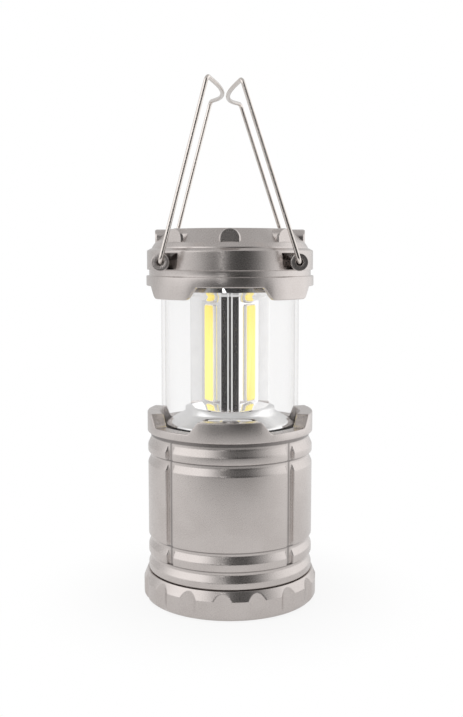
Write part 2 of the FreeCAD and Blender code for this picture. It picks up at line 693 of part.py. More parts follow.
def battery_cell(number, facing):
    """One cell lying along Y; facing is +1 where its nub points to the back."""
    name = "battery_cell_%d" % (number + 1)
    body = turned(name, [
        ("0", "0"),
        ("cell_radius - cell_round", "0", "cell_round"),
        ("cell_radius", "cell_round"),
        ("cell_radius", "cell_length - nub_height - cell_round", "cell_round"),
        ("cell_radius - cell_round", "cell_length - nub_height"),
        ("nub_radius", "cell_length - nub_height"),
        ("nub_radius", "cell_length - cell_gap"),
        ("0", "cell_length - cell_gap"),
    ])
    body.Placement = Placement(Vector(), Rotation(Vector(1, 0, 0), -90 * facing))
    bind(body, {
        "Placement.Base.x": "%d * cell_pitch" % (number - 1),
        "Placement.Base.y": "%d * (contact_face - cell_length)" % facing,
        "Placement.Base.z": "cell_level",
    })
    return finish(body, name)


def battery_spring(number, facing):
    """Conical spring between the flat end of a cell and its contact, wound as one tube."""
    wire = value("spring_wire") / 2
    wide, narrow = value("spring_wide"), value("spring_narrow")
    turns = value("spring_turns")
    length = value("spring_room - 2 * cell_gap - spring_wire")

    def place(turn):
        radius = wide + (narrow - wide) * turn / turns
        angle = 2 * math.pi * turn
        return Vector(radius * math.cos(angle), radius * math.sin(angle), length * turn / turns)

    def heading(turn):
        return (place(turn + TINY) - place(turn - TINY)).normalize()

    quarters = [quarter / 4 for quarter in range(int(4 * turns) + 1)]
    path = []
    for start, end in zip(quarters, quarters[1:]):
        path += biarc(place(start), heading(start), place(end), heading(end))
    coil = swept(path, place(0), heading(0), wire)
    dots = [dot for edge in path for dot in edge.discretize(12)[1:]]
    half_turn = int(len(dots) / turns / 2)
    gap = min((a - b).Length for index, a in enumerate(dots) for b in dots[index + half_turn:]) - 2 * wire
    length_now = sum(edge.Length for edge in path)
    print("battery spring: least gap to itself %.2f mm, volume %.2f, section times length %.2f"
          % (gap, coil.Volume, length_now * math.pi * wire ** 2))
    base = Vector(
        (number - 1) * value("cell_pitch"),
        -facing * (value("contact_face - cell_gap") - wire),
        value("cell_level"),
    )
    turn = Rotation(Vector(1, 0, 0), -90 * facing)
    name = "battery_spring_%d" % (number + 1)
    return finish(shaped(name, coil, Placement(base, turn)), name)


def battery_contact(name, first, last, side):
    """Sheet contact on one end wall, from one cell to another; side is -1 at the front."""
    inner, outer = "contact_face", "contact_face + contact_thickness"
    near, far = (inner, outer) if side > 0 else ("-(%s)" % outer, "-(%s)" % inner)
    low = ("%d * cell_pitch - contact_half" % (first - 1), near, "cell_level - contact_half")
    high = ("%d * cell_pitch + contact_half" % (last - 1), far, "cell_level + contact_half")
    return finish(block(name, low, high), name)


def contact_rails():
    """Two strips on the bore that the head's wipers follow."""
    height = "rib_top_end - rail_top_gap - tray_top"
    rails = []
    for side in SIDES:
        start = "90 - %d * 90 - rail_angle / 2" % side
        name = "rail_right" if side > 0 else "rail_left"
        rails.append(sector(name, "bore_radius - rail_thickness", "bore_radius", "tray_top", height,
                            start, "rail_angle"))
    return finish(group("contact_rails", rails), "contact_rails")


def bottom_cover():
    bore = "neck_radius + cover_clearance"
    body = turned("cover_shell", [
        ("0", "0"),
        ("cover_radius - cover_foot_round", "0", "cover_foot_round"),
        ("cover_radius", "cover_foot_round"),
        ("cover_radius", "cover_wall_top"),
        ("cover_radius - cover_rim_inset", "cover_height"),
        (bore, "cover_height"),
        (bore, "cover_floor"),
        ("0", "cover_floor"),
    ])
    place = ("cover_radius - scallop_depth + scallop_radius", "0")
    scallop = circle_outline(body, "scallop", "XY_Plane", place, "scallop_radius", "0", "scallop_turn")
    scallop_cut = feature(body, "Pocket", "scallop_cut", scallop, {"Length": "2 * cover_height"}, True)
    around(body, scallop_cut, "scallop_count")
    pockets = []
    for number in range(int(value("lug_count"))):
        middle = "%d * 360 / lug_count" % number
        start = "%s - lug_angle / 2 - twist_angle - twist_spare" % middle
        pocket_low = "lug_level - cover_clearance"
        outer = "neck_radius + lug_reach + cover_clearance"
        groove_height = "lug_height + 2 * cover_clearance"
        groove_sweep = "lug_angle + twist_angle + 2 * twist_spare"
        entry_sweep = "lug_angle + 2 * twist_spare"
        pockets.append(sector("lug_groove_%d" % number, "neck_radius", outer, pocket_low, groove_height,
                              start, groove_sweep))
        pockets.append(sector("lug_entry_%d" % number, "neck_radius", outer, pocket_low, "cover_height",
                              start, entry_sweep))
    return finish(cut("bottom_cover", body, pockets), "bottom_cover")


# Head


def slide_ring():
    body = turned("slide_ring", [
        ("slide_ring_inner", "slide_bottom"),
        ("bore_radius - slide_gap", "slide_bottom"),
        ("bore_radius - slide_gap", "slide_top"),
        ("slide_ring_inner", "slide_top"),
    ])
    slot = outline(body, "rail_slot", "XY_Plane", [
        ("slide_ring_inner + slide_ring_thickness", "-slide_slot_half"),
        ("bore_radius", "-slide_slot_half"),
        ("bore_radius", "slide_slot_half"),
        ("slide_ring_inner + slide_ring_thickness", "slide_slot_half"),
    ], "slide_bottom")
    slot_cut = feature(body, "Pocket", "rail_slot_cut", slot, {"Length": "slide_ring_thickness"}, True)
    around(body, slot_cut, PAIR)
    return finish(body, "slide_ring")


def wiper_contacts():
    reach = "bore_radius - rail_thickness - wiper_gap"
    start = "slide_ring_inner + slide_ring_thickness"
    half = "slide_slot_half - fit_clearance"
    wipers = []
    for side in SIDES:
        near, far = (start, reach) if side > 0 else ("-(%s)" % reach, "-(%s)" % start)
        name = "wiper_right" if side > 0 else "wiper_left"
        wipers.append(block(name, (near, "-(%s)" % half, "slide_bottom"), (far, half, "slide_top")))
    return finish(group("wiper_contacts", wipers), "wiper_contacts")


def clear_tube():
    body = turned("clear_tube", [
        ("tube_radius - tube_wall", "slide_top"),
        ("tube_radius", "slide_top"),
        ("tube_radius", "plate_bottom"),
        ("tube_radius - tube_wall", "plate_bottom"),
    ])
    return finish(body, "clear_tube")


def lower_dish():
    rim, inner_rim = "inside_tube", "inside_tube - chrome_wall"
    hub = "dish_step_high + (dish_step_radius - wire_way) * dish_slope"
    body = turned("lower_dish", [
        (inner_rim, "slide_top"),
        (rim, "slide_top"),
        (rim, "dish_rim"),
        ("dish_step_radius", "dish_step_low"),
        ("dish_step_radius", "dish_step_high"),
        ("wire_way", hub),
        ("wire_way", hub + " - chrome_wall"),
        ("dish_step_radius - chrome_wall", "dish_step_high - chrome_wall + chrome_wall * dish_slope"),
        ("dish_step_radius - chrome_wall", "dish_step_low - chrome_wall"),
        (inner_rim, "dish_rim - chrome_wall"),
    ])
    return finish(body, "lower_dish")


def top_reflector():
    rim, inner_rim = "inside_tube", "inside_tube - chrome_wall"
    start = "core_high - (pan_depth - wire_way) * flare_slope"
    edge = "crown_flare_top + chrome_wall"
    body = turned("top_reflector", [
        ("wire_way", start),
        ("crown_flare_radius", "crown_flare_top"),
        (rim, edge),
        (rim, "plate_bottom"),
        (inner_rim, "plate_bottom"),
        (inner_rim, edge + " + chrome_wall"),
        ("crown_flare_radius", edge),
        ("wire_way", start + " + chrome_wall"),
    ])
    return finish(body, "top_reflector")


def reflector(number):
    """Pan with a flat floor for one light strip and half of the rounded ridge on each side."""
    name = "reflector_%d" % (number + 1)
    half = "180 / panel_count"
    tip = "%s - seam_angle" % half
    inner_lobe = "lobe_radius - pan_wall"

    def lobe_side(radius):
        flank = "90 - %s" % half
        return ("lobe_circle * cos(%s) + (%s) * cos(%s)" % (half, radius, flank),
                "lobe_circle * sin(%s) - (%s) * sin(%s)" % (half, radius, flank))

    def ridge(radius):
        distance = "(lobe_circle + %s)" % radius
        return ("%s * cos(%s)" % (distance, tip), "%s * sin(%s)" % (distance, tip))

    def floor_corner(side, depth):
        return (depth, "%s - (%s - (%s)) * tan(%s)" % (side[1], side[0], depth, half))

    outer_side, inner_side = lobe_side("lobe_radius"), lobe_side(inner_lobe)
    outer_corner = floor_corner(outer_side, "pan_depth")
    inner_corner = floor_corner(inner_side, "pan_depth - pan_wall")
    upper = [
        outer_corner,
        outer_side + ("lobe_radius",),
        ridge("lobe_radius"),
        ridge(inner_lobe) + ("-" + inner_lobe,),
        inner_side,
        inner_corner,
    ]

    def mirrored(point, bend=None):
        step = (point[0], "-(%s)" % point[1])
        return step + (bend,) if bend else step

    lower = [
        mirrored(inner_corner),
        mirrored(inner_side, "-" + inner_lobe),
        mirrored(ridge(inner_lobe)),
        mirrored(ridge("lobe_radius"), "lobe_radius"),
        mirrored(outer_side),
        mirrored(outer_corner),
    ]
    body = new_body(name + "_pan")
    section = outline(body, name + "_section", "XY_Plane", upper + lower, "dish_step_low")
    feature(body, "Pad", name + "_pad", section, {"Length": "crown_flare_top + chrome_wall - dish_step_low"})
    made = cut(name, body, reflector_ends(name))
    bind(made, {"Placement.Rotation.Angle": "panel_turn + %d * 360 / panel_count" % number})
    return finish(made, name)


def reflector_ends(name):
    """Cones that trim a reflector to the dish below and to the flare above."""
    low = doc.addObject("Part::Cone", name + "_low_end")
    drop = "dish_step_high - dish_step_low + chrome_wall"
    hub = "(dish_step_radius - wire_way) * dish_slope"
    bind(low, {
        "Radius1": "dish_step_radius + (%s) / dish_slope" % drop,
        "Radius2": "wire_way",
        "Height": "%s + %s" % (drop, hub),
        "Placement.Base.z": "dish_step_low - chrome_wall",
    })
    high = doc.addObject("Part::Cone", name + "_high_end")
    start = "core_high - (pan_depth - wire_way) * flare_slope"
    bind(high, {
        "Radius1": "wire_way",
        "Radius2": "crown_flare_radius + 2 * chrome_wall / flare_slope",
        "Height": "crown_flare_top + 2 * chrome_wall - (%s)" % start,
        "Placement.Base.z": start,
    })
    return [low, high]


def light_strip(number, kind, start, thickness, width, end_gap):
    """Flat bar on the floor of a reflector, with rounded ends."""
    name = "%s_%d" % (kind, number + 1)
    body = new_body(name)
    low = "core_low + %s" % end_gap
    high = "core_high - (%s)" % end_gap
    corner = "strip_thickness"
    half = width + " / 2"
    face = outline(body, name + "_face", "YZ_Plane", [
        ("-%s + %s" % (half, corner), low),
        ("%s - %s" % (half, corner), low, corner),
        (half, "%s + %s" % (low, corner)),
        (half, "%s - %s" % (high, corner), corner),
        ("%s - %s" % (half, corner), high),
        ("-%s + %s" % (half, corner), high, corner),
        ("-%s" % half, "%s - %s" % (high, corner)),
        ("-%s" % half, "%s + %s" % (low, corner), corner),
    ], start)
    feature(body, "Pad", name + "_pad", face, {"Length": thickness})
    bind(body, {"Placement.Rotation.Angle": "panel_turn + %d * 360 / panel_count" % number})
    return finish(body, name)


def cap_plate(screw_holes):
    body = turned("cap_plate_disc", [
        ("wire_way", "plate_bottom"),
        ("cap_inner - fit_clearance", "plate_bottom"),
        ("cap_inner - fit_clearance", "plate_top"),
        ("board_ring_radius", "plate_top"),
        ("board_ring_radius", "board_level"),
        ("board_ring_radius - plate_thickness", "board_level"),
        ("board_ring_radius - plate_thickness", "plate_top"),
        ("wire_way", "plate_top"),
    ])
    return finish(cut("cap_plate", body, screw_holes), "cap_plate")


def driver_board():
    """Round board with its converter chip, coil and resistor."""
    under = "board_level"
    top = under + " + board_thickness"
    disc = rod("board_disc", "board_ring_radius", "board_thickness", ("0", "0", under))
    coil_place = ("board_ring_radius / 2", "0", top)
    coil = rod("board_coil", "board_ring_radius / 4", "2 * board_thickness", coil_place)
    chip = block("board_chip", ("-board_ring_radius / 2", "-board_ring_radius / 6", top),
                 ("-board_ring_radius / 6", "board_ring_radius / 6", top + " + board_thickness"))
    resistor = block("board_resistor", ("-board_ring_radius / 8", "board_ring_radius / 2", top),
                     ("board_ring_radius / 8", "board_ring_radius * 5 / 8", top + " + board_thickness / 2"))
    return finish(fuse("driver_board", [disc, coil, chip, resistor]), "driver_board")


def lead_wires():
    """Two leads from the wipers, up through the core, to the driver board."""
    radius = value("lead_radius")
    level = value("slide_top + lead_radius + fit_clearance")
    top = value("board_level")
    end = value("slide_ring_inner + 2 * slide_ring_thickness")
    offset = value("lead_offset")
    leads = []
    for side in SIDES:
        corner = Vector(side * offset, 0, level)
        points = [Vector(side * end, 0, level), corner, Vector(side * offset, 0, top)]
        leads.append(bent_wire(points, [value("lead_bend")], radius))
    return finish(shaped("lead_wires", Part.makeCompound(leads)), "lead_wires")


def top_cap(screw_holes):
    roof = "plate_bottom"
    body = turned("cap_shell", [
        ("cap_inner", "skirt_bottom"),
        ("skirt_radius", "skirt_bottom"),
        ("skirt_radius", "skirt_top"),
        ("band_groove_radius", "skirt_top"),
        ("band_groove_radius", "band_bottom"),
        ("band_radius", "band_bottom"),
        ("band_radius", "band_top - band_round", "band_round"),
        ("band_radius - band_round", "band_top"),
        ("crown_foot_radius", "crown_bottom"),
        ("crown_top_radius", "crown_top - crown_round", "crown_round"),
        ("crown_top_radius - crown_round", "crown_top"),
        ("top_recess_radius", "crown_top"),
        ("top_recess_radius", "crown_top - top_recess_depth"),
        ("0", "crown_top - top_recess_depth"),
        ("0", "cap_ceiling"),
        ("crown_top_radius - 2 * cap_wall", "cap_ceiling"),
        ("crown_foot_radius - 2 * cap_wall", "crown_bottom - cap_wall"),
        ("cap_inner", "band_top - 2 * cap_wall"),
    ])
    arch_spring = "crown_top - arch_half"
    arch = outline(body, "arch", "YZ_Plane", [
        ("-arch_half", "crown_bottom - cap_wall / 2"),
        ("arch_half", "crown_bottom - cap_wall / 2"),
        ("arch_half", arch_spring, "arch_half"),
        ("0", "crown_top", "arch_half"),
        ("-arch_half", arch_spring),
    ], "arch_root")
    arch_pad = feature(body, "Pad", "arch_pad", arch, {"Length": "arch_face - arch_root"})
    around(body, arch_pad, "arch_count")
    mouth_half = "skirt_radius * sin(tooth_base_angle + notch_mouth_angle)"
    roof_half = "skirt_radius * sin(tooth_top_angle + notch_side_angle)"
    notch = outline(body, "notch", "YZ_Plane", [
        ("-(%s)" % mouth_half, "skirt_bottom - foot_round"),
        (mouth_half, "skirt_bottom - foot_round"),
        (mouth_half, "skirt_bottom"),
        (roof_half, roof),
        ("-(%s)" % roof_half, roof),
        ("-(%s)" % mouth_half, "skirt_bottom"),
    ])
    notch_cut = feature(body, "Pocket", "notch_cut", notch, {"Length": "2 * skirt_radius"}, True)
    notches = around(body, notch_cut, "tooth_count")
    roofs = round_edges(body, notches, "notch_roof_round", "tooth_round", level_line(value(roof)))
    round_edges(body, roofs, "notch_mouth_round", "tooth_round", level_line(value("skirt_bottom")))
    return finish(cap_with_bosses(body, screw_holes), "top_cap")


def cap_with_bosses(shell, screw_holes):
    """Adds the handle bosses in their pockets and the screw bosses inside."""
    low, high = "pivot_level - pocket_half", "pivot_level + pocket_half"
    filler_low, filler_high = low + " - cap_wall / 2", high + " + cap_wall / 2"
    backing_radius = "(cap_inner + band_groove_radius) / 2"
    backing_height = "%s - (%s)" % (filler_high, filler_low)
    inside = rod("pocket_backing", backing_radius, backing_height, ("0", "0", filler_low))
    middle = block("pocket_middle", ("-pocket_side + cap_wall", "-band_radius", filler_low),
                   ("pocket_side - cap_wall", "band_radius", filler_high))
    backing = cut("pocket_sides", inside, [middle])
    bosses = []
    for number in range(int(value("cap_screw_count"))):
        angle = "cap_screw_turn + %d * 360 / cap_screw_count" % number
        base = ("cap_boss_circle * cos(%s)" % angle, "cap_boss_circle * sin(%s)" % angle, "plate_top")
        height = "cap_ceiling + cap_wall / 2 - plate_top"
        bosses.append(rod("cap_boss_%d" % number, "cap_boss_radius", height, base))
    closed = fuse("cap_closed", [shell, backing] + bosses)
    pockets = []
    handle_bosses = []
    holes = []
    past = "cover_radius"
    for side in SIDES:
        x_low, x_high = ("pocket_side", past) if side > 0 else ("-" + past, "-pocket_side")
        for depth in SIDES:
            y_low, y_high = ("pocket_floor", past) if depth > 0 else ("-" + past, "-pocket_floor")
            name = "%s_%s" % ("right" if side > 0 else "left", "back" if depth > 0 else "front")
            pockets.append(block("pocket_" + name, (x_low, y_low, low), (x_high, y_high, high)))
            place = "%d * pivot_offset" % side
            root = "pocket_floor - cap_wall"
            boss_start = root if depth > 0 else "-boss_face"
            hole_start = "boss_face - boss_hole_depth" if depth > 0 else "-boss_face"
            handle_bosses.append(rod("boss_" + name, "boss_radius", "boss_face - (%s)" % root,
                                     (place, boss_start, "pivot_level"), "y"))
            holes.append(rod("boss_hole_" + name, "boss_hole", "boss_hole_depth",
                             (place, hole_start, "pivot_level"), "y"))
    pocketed = cut("cap_pocketed", closed, pockets)
    bossed = fuse("cap_bossed", [pocketed] + handle_bosses)
    return cut("top_cap", bossed, holes + screw_holes)


def handle(name, side, lean):
    """Wire bail: pin, leg, bow over the top, leg, pin. Built upright, then leaned in about its pivot."""
    leg, height = value("leg_plane"), value("leg_length")
    pin = value("boss_face - pin_reach")
    point = -side * value("bow_point")
    points = [
        Vector(0, -pin, 0),
        Vector(0, -leg, 0),
        Vector(0, -leg, height),
        Vector(point, 0, height),
        Vector(0, leg, height),
        Vector(0, leg, 0),
        Vector(0, pin, 0),
    ]
    bend = value("wire_bend")
    radius = value("handle_wire") / 2
    wire = bent_wire(points, [bend, bend, value("bow_radius"), bend, bend], radius)
    length = sum(edge.Length for edge in bent_path(points, [bend, bend, value("bow_radius"), bend, bend]))
    print("%s: volume %.1f, section times length %.1f" % (name, wire.Volume, length * math.pi * radius ** 2))
    pivot = Vector(side * value("pivot_offset"), 0, value("pivot_level"))
    turn = Rotation(Vector(0, 1, 0), -side * value(lean))
    return finish(shaped(name, wire, Placement(pivot, turn)), name)


def build():
    tray_holes = [tray_screw("tray_hole_%d" % side, side, "screw_clearance") for side in SIDES]
    base_housing(tray_holes)
    collar_ring()
    seal_ring()
    battery_tray(tray_holes)
    tray_screws = [tray_screw("tray_screw_%d" % side, side, "0") for side in SIDES]
    finish(group("tray_screws", tray_screws), "tray_screws")
    facings = (1, -1, 1)
    for number, facing in enumerate(facings):
        battery_cell(number, facing)
        battery_spring(number, facing)
    battery_contact("contact_bridge_front", 0, 1, -1)
    battery_contact("contact_tab_front", 2, 2, -1)
    battery_contact("contact_tab_back", 0, 0, 1)
    battery_contact("contact_bridge_back", 1, 2, 1)
    contact_rails()
    bottom_cover()

    slide_ring()
    wiper_contacts()
    clear_tube()
    lower_dish()
    top_reflector()
    for number in range(int(value("panel_count"))):
        reflector(number)
        light_strip(number, "cob_board", "pan_depth", "strip_thickness", "strip_width", "strip_end_gap")
        light_strip(number, "cob_phosphor", "pan_depth + strip_thickness", "glow_thickness", "glow_width",
                    "strip_end_gap + glow_inset")
    screws = range(int(value("cap_screw_count")))
    cap_holes = [cap_screw("cap_hole_%d" % number, number, "screw_clearance") for number in screws]
    cap_plate(cap_holes)
    driver_board()
    lead_wires()
    top_cap(cap_holes)
    cap_screws = [cap_screw("cap_screw_%d" % number, number, "0") for number in screws]
    finish(group("cap_screws", cap_screws), "cap_screws")
    handle("left_handle", -1, "left_lean")
    handle("right_handle", 1, "right_lean")


def check():
    doc.recompute()
    failed = [thing.Name for thing in doc.Objects if "Invalid" in thing.State or "Error" in thing.State]
    for thing in SUBPARTS:
        if thing.Shape.isNull() or not thing.Shape.isValid() or not thing.Shape.Solids:
            failed.append(thing.Label)
    if failed:
        raise RuntimeError("failed objects: " + ", ".join(failed))


fill_sheets()
build()
check()
os.makedirs("parts", exist_ok=True)
for thing in SUBPARTS:
    thing.Shape.exportStep("parts/%s.step" % thing.Label)
print("%d sub-parts written" % len(SUBPARTS))
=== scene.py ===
import json
import math

import bmesh
import bpy
from mathutils import Matrix, Vector


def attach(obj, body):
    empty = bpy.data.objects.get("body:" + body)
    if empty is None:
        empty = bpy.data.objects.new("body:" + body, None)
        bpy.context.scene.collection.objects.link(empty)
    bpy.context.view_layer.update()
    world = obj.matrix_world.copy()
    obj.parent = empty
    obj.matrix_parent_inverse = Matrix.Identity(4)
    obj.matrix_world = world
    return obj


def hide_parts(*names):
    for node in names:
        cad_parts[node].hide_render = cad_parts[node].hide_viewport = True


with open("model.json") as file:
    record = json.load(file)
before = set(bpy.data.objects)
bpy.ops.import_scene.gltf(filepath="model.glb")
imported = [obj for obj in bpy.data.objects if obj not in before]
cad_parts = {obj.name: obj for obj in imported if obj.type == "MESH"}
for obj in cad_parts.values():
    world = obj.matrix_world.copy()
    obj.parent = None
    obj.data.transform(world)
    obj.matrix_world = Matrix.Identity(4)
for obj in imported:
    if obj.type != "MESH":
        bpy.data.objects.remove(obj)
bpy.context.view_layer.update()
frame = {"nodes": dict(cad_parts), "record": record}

# Pop-up camping lantern: silver-painted shells, a clear tube with a chromed light core, two wire bails.
# Sizes are written in millimetres and turned into metres where a mesh is made.
# +Z is up, the front faces -Y, angles are degrees from +X.

MM = 0.001
TOOTH_COUNT = 4
QUARTER = 360 / TOOTH_COUNT
SHARP_EDGE = math.radians(34)

# Columns round a skin and over a tooth's flank, the least turn between two of them, the step that keeps
# an edge crisp, and two welding distances in metres.
ROUND_STEPS = 240
FLANK_STEPS = 14
FLANK_MARGIN = 2.2
LEAST_TURN = 1e-4
EDGE_STEP = 0.01
COPY_WELD = 1e-6
SKIN_WELD = 1e-7


# Node trees


def pick(sockets, key):
    """A socket by its place, its identifier or its name."""
    if isinstance(key, int):
        return sockets[key]
    return next(socket for socket in sockets if key in (socket.identifier, socket.name))


class Link:
    """An output socket; arithmetic on it adds Math nodes."""

    def __init__(self, sheet, socket):
        self.sheet = sheet
        self.socket = socket

    def maths(self, operation, *values):
        settings = {"operation": operation}
        return self.sheet.node("ShaderNodeMath", settings, dict(enumerate(values)))["Value"]

    def __add__(self, other):
        return self.maths("ADD", self, other)

    def __radd__(self, other):
        return self.maths("ADD", other, self)

    def __sub__(self, other):
        return self.maths("SUBTRACT", self, other)

    def __rsub__(self, other):
        return self.maths("SUBTRACT", other, self)

    def __mul__(self, other):
        return self.maths("MULTIPLY", self, other)

    def __rmul__(self, other):
        return self.maths("MULTIPLY", other, self)

    def __truediv__(self, other):
        return self.maths("DIVIDE", self, other)

    def __rtruediv__(self, other):
        return self.maths("DIVIDE", other, self)

    def __pow__(self, other):
        return self.maths("POWER", self, other)

    def ramp(self, low, high):
        """0 below low, 1 above high, smooth between them."""
        settings = {"interpolation_type": "SMOOTHSTEP"}
        sockets = {"Value": self, "From Min": low, "From Max": high}
        return self.sheet.node("ShaderNodeMapRange", settings, sockets)["Result"]


class Made:
    """A node that has been placed; its outputs are read by name."""

    def __init__(self, sheet, node):
        self.sheet = sheet
        self.node = node

    def __getitem__(self, key):
        return Link(self.sheet, pick(self.node.outputs, key))


class NodeSheet:
    """The node tree of a finish, of the world or of a Geometry Nodes modifier."""

    def __init__(self, tree):
        self.tree = tree
        self.tree.nodes.clear()

    def node(self, kind, settings=None, sockets=None):
        placed = self.tree.nodes.new(kind)
        for name, setting in (settings or {}).items():
            setattr(placed, name, setting)
        for key, given in (sockets or {}).items():
            self.feed(pick(placed.inputs, key), given)
        return Made(self, placed)

    def feed(self, socket, given):
        if isinstance(given, Link):
            self.tree.links.new(given.socket, socket)
        else:
            socket.default_value = given

    def split(self, vector):
        parts = self.node("ShaderNodeSeparateXYZ", None, {"Vector": vector})
        return parts["X"], parts["Y"], parts["Z"]


class Finish(NodeSheet):
    """One material; patterns lie on the piece's own Object coordinates."""

    def __init__(self, name):
        self.material = bpy.data.materials.new(name)
        self.material.use_nodes = True
        super().__init__(self.material.node_tree)
        self.place = self.node("ShaderNodeTexCoord")["Object"]

    def noise(self, size, detail=2.0, stretch=(1, 1, 1)):
        """Cloudy pattern of the given size in millimetres."""
        place = self.place
        if stretch != (1, 1, 1):
            place = self.node("ShaderNodeMapping", None, {"Vector": place, "Scale": stretch})["Vector"]
        sockets = {"Vector": place, "Scale": 1 / (size * MM), "Detail": detail}
        return self.node("ShaderNodeTexNoise", None, sockets)["Fac"]

    def blend(self, share, first, second):
        """Mix of two colours, each a triple of numbers or a link."""
        first, second = (side if isinstance(side, Link) else side + (1,) for side in (first, second))
        sockets = {"Factor_Float": share, "A_Color": first, "B_Color": second}
        return self.node("ShaderNodeMix", {"data_type": "RGBA"}, sockets)["Result_Color"]

    def bump(self, height, depth):
        """Normal of a relief of the given depth in millimetres."""
        sockets = {"Height": height, "Distance": depth * MM, "Strength": 1.0}
        return self.node("ShaderNodeBump", None, sockets)["Normal"]

    def close(self, sockets):
        shader = self.node("ShaderNodeBsdfPrincipled", None, sockets)["BSDF"]
        self.node("ShaderNodeOutputMaterial", None, {"Surface": shader})
        return self.material


# Finishes

# Heights in metres below which the chrome's colour is painted near black as a shadow under the dish.
RIM_SHADE_EDGE = (87.1 * MM, 87.3 * MM)
# Heights in metres over which the phosphor's painted glow turns deeper yellow, and how far it turns.
GLOW_SHIFT_SPAN = (98 * MM, 146 * MM)
GLOW_SHIFT_SHARE = 0.65


def silver_paint():
    """Satin metallic paint: fine flakes, orange peel, faint clouds of handling, and painted shade that
    darkens it in the grooves, the channels and behind the collar.
    """
    finish = Finish("silver_paint")
    # Painted shade: a point attribute of the mesh mixes the paint toward near-black tones where grooves,
    # channel lines and the wall behind the collar lie in shade.
    groove_shade = finish.node("ShaderNodeAttribute", {"attribute_name": "groove_shade"})["Fac"]
    flakes = finish.noise(0.22, 1.0)
    clouds = finish.noise(11.0, 3.0)
    peel = finish.noise(0.9, 1.0)
    share = clouds.ramp(0.3, 0.7) * 0.6 + flakes.ramp(0.3, 0.7) * 0.4
    paint_tones = (0.545, 0.502, 0.482), (0.605, 0.562, 0.542)
    # Near-black tones of the painted shade.
    shade_tones = (0.115, 0.104, 0.102), (0.135, 0.124, 0.122)
    painted = finish.blend(share, *paint_tones)
    return finish.close({
        "Base Color": finish.blend(groove_shade, painted, finish.blend(share, *shade_tones)),
        "Metallic": 0.96,
        "Roughness": 0.23 + flakes * 0.06 + clouds * 0.03,
        "Normal": finish.bump(flakes * 0.5 + peel, 0.006),
        "Coat Weight": 0.08,
        "Coat Roughness": 0.12,
    })


def chrome_plating():
    """Bright plating; below the rim of the dish its colour is painted near black, a painted shadow in the
    gap between the dish, the tube and the collar.
    """
    finish = Finish("chrome_plating")
    haze = finish.noise(6.0, 3.0)
    ripple = finish.noise(9.0, 0.0)
    _, _, height = finish.split(finish.place)
    # Painted shadow: near black below the dish's rim, with random haze in the plating's brightness above
    # it.
    shade_and_haze = height.ramp(*RIM_SHADE_EDGE) * (0.9 + haze * 0.1)
    return finish.close({
        "Base Color": finish.blend(shade_and_haze, (0.02, 0.02, 0.02), (0.96, 0.955, 0.955)),
        "Metallic": 1.0,
        "Roughness": 0.03 + haze.ramp(0.4, 0.8) * 0.05,
        "Normal": finish.bump(ripple, 0.02),
    })


def clear_plastic():
    """Clear moulding: next to nothing seen straight on, a pale film where it is seen edge on."""
    finish = Finish("clear_plastic")
    flow = finish.noise(16.0, 2.0, (1, 1, 0.08))
    edge = finish.node("ShaderNodeLayerWeight", None, {"Blend": 0.5})["Facing"]
    film = 0.028 + flow.ramp(0.45, 0.75) * 0.022
    return finish.close({
        "Base Color": (0.66, 0.62, 0.62, 1),
        "Roughness": 0.02 + flow * 0.04,
        "IOR": 1.49,
        "Alpha": film + edge ** 5 * 0.40,
    })


def phosphor():
    """Yellow silicone layer of a light strip, a little grainy; its emission is a painted glow, and the glow
    deepens in colour toward its top as painted light.
    """
    finish = Finish("phosphor")
    grain = finish.noise(0.35, 2.0)
    clouds = finish.noise(7.0, 1.0)
    _, _, height = finish.split(finish.place)
    # Painted light: the glow deepens in colour with height.
    deep = height.ramp(*GLOW_SHIFT_SPAN) * GLOW_SHIFT_SHARE
    return finish.close({
        "Base Color": finish.blend(clouds * 0.7 + grain * 0.3, (1.0, 0.80, 0.20), (1.0, 0.88, 0.32)),
        "Roughness": 0.42 + grain * 0.12,
        # Painted glow: the emission brightens the strip's colour as if it were lit.
        "Emission Color": finish.blend(deep, (1.0, 0.88, 0.34), (1.0, 0.74, 0.07)),
        "Emission Strength": 0.50,
        "Normal": finish.bump(grain, 0.02),
    })


def strip_board():
    """White face of a light strip's board; its faint white emission is a painted glow."""
    finish = Finish("strip_board")
    grain = finish.noise(0.5, 2.0)
    return finish.close({
        "Base Color": finish.blend(grain, (0.84, 0.83, 0.81), (0.90, 0.89, 0.87)),
        "Roughness": 0.35 + grain * 0.1,
        # Painted glow on the board.
        "Emission Color": (1.0, 0.97, 0.93, 1),
        "Emission Strength": 0.25,
    })


def bright_wire():
    """Plated steel wire with drawing marks along its run."""
    finish = Finish("bright_wire")
    marks = finish.noise(0.5, 2.0, (1, 1, 0.06))
    clouds = finish.noise(9.0, 2.0)
    return finish.close({
        "Base Color": finish.blend(clouds, (0.66, 0.60, 0.56), (0.80, 0.755, 0.72)),
        "Metallic": 1.0,
        "Roughness": 0.12 + marks * 0.14,
        "Normal": finish.bump(marks, 0.008),
    })


def moulded_plastic(name, dark, light, roughness):
    """Plastic or rubber with the fine grain of its mould."""
    finish = Finish(name)
    grain = finish.noise(0.6, 2.0)
    return finish.close({
        "Base Color": finish.blend(grain, dark, light),
        "Roughness": roughness + grain * 0.15,
        "Normal": finish.bump(grain, 0.02),
    })


def sheet_metal(name, dark, light, roughness):
    """Rolled or turned metal with brushing along Y."""
    finish = Finish(name)
    brushing = finish.noise(0.4, 2.0, (1, 0.1, 1))
    return finish.close({
        "Base Color": finish.blend(brushing, dark, light),
        "Metallic": 1.0,
        "Roughness": roughness + brushing * 0.18,
        "Normal": finish.bump(brushing, 0.01),
    })


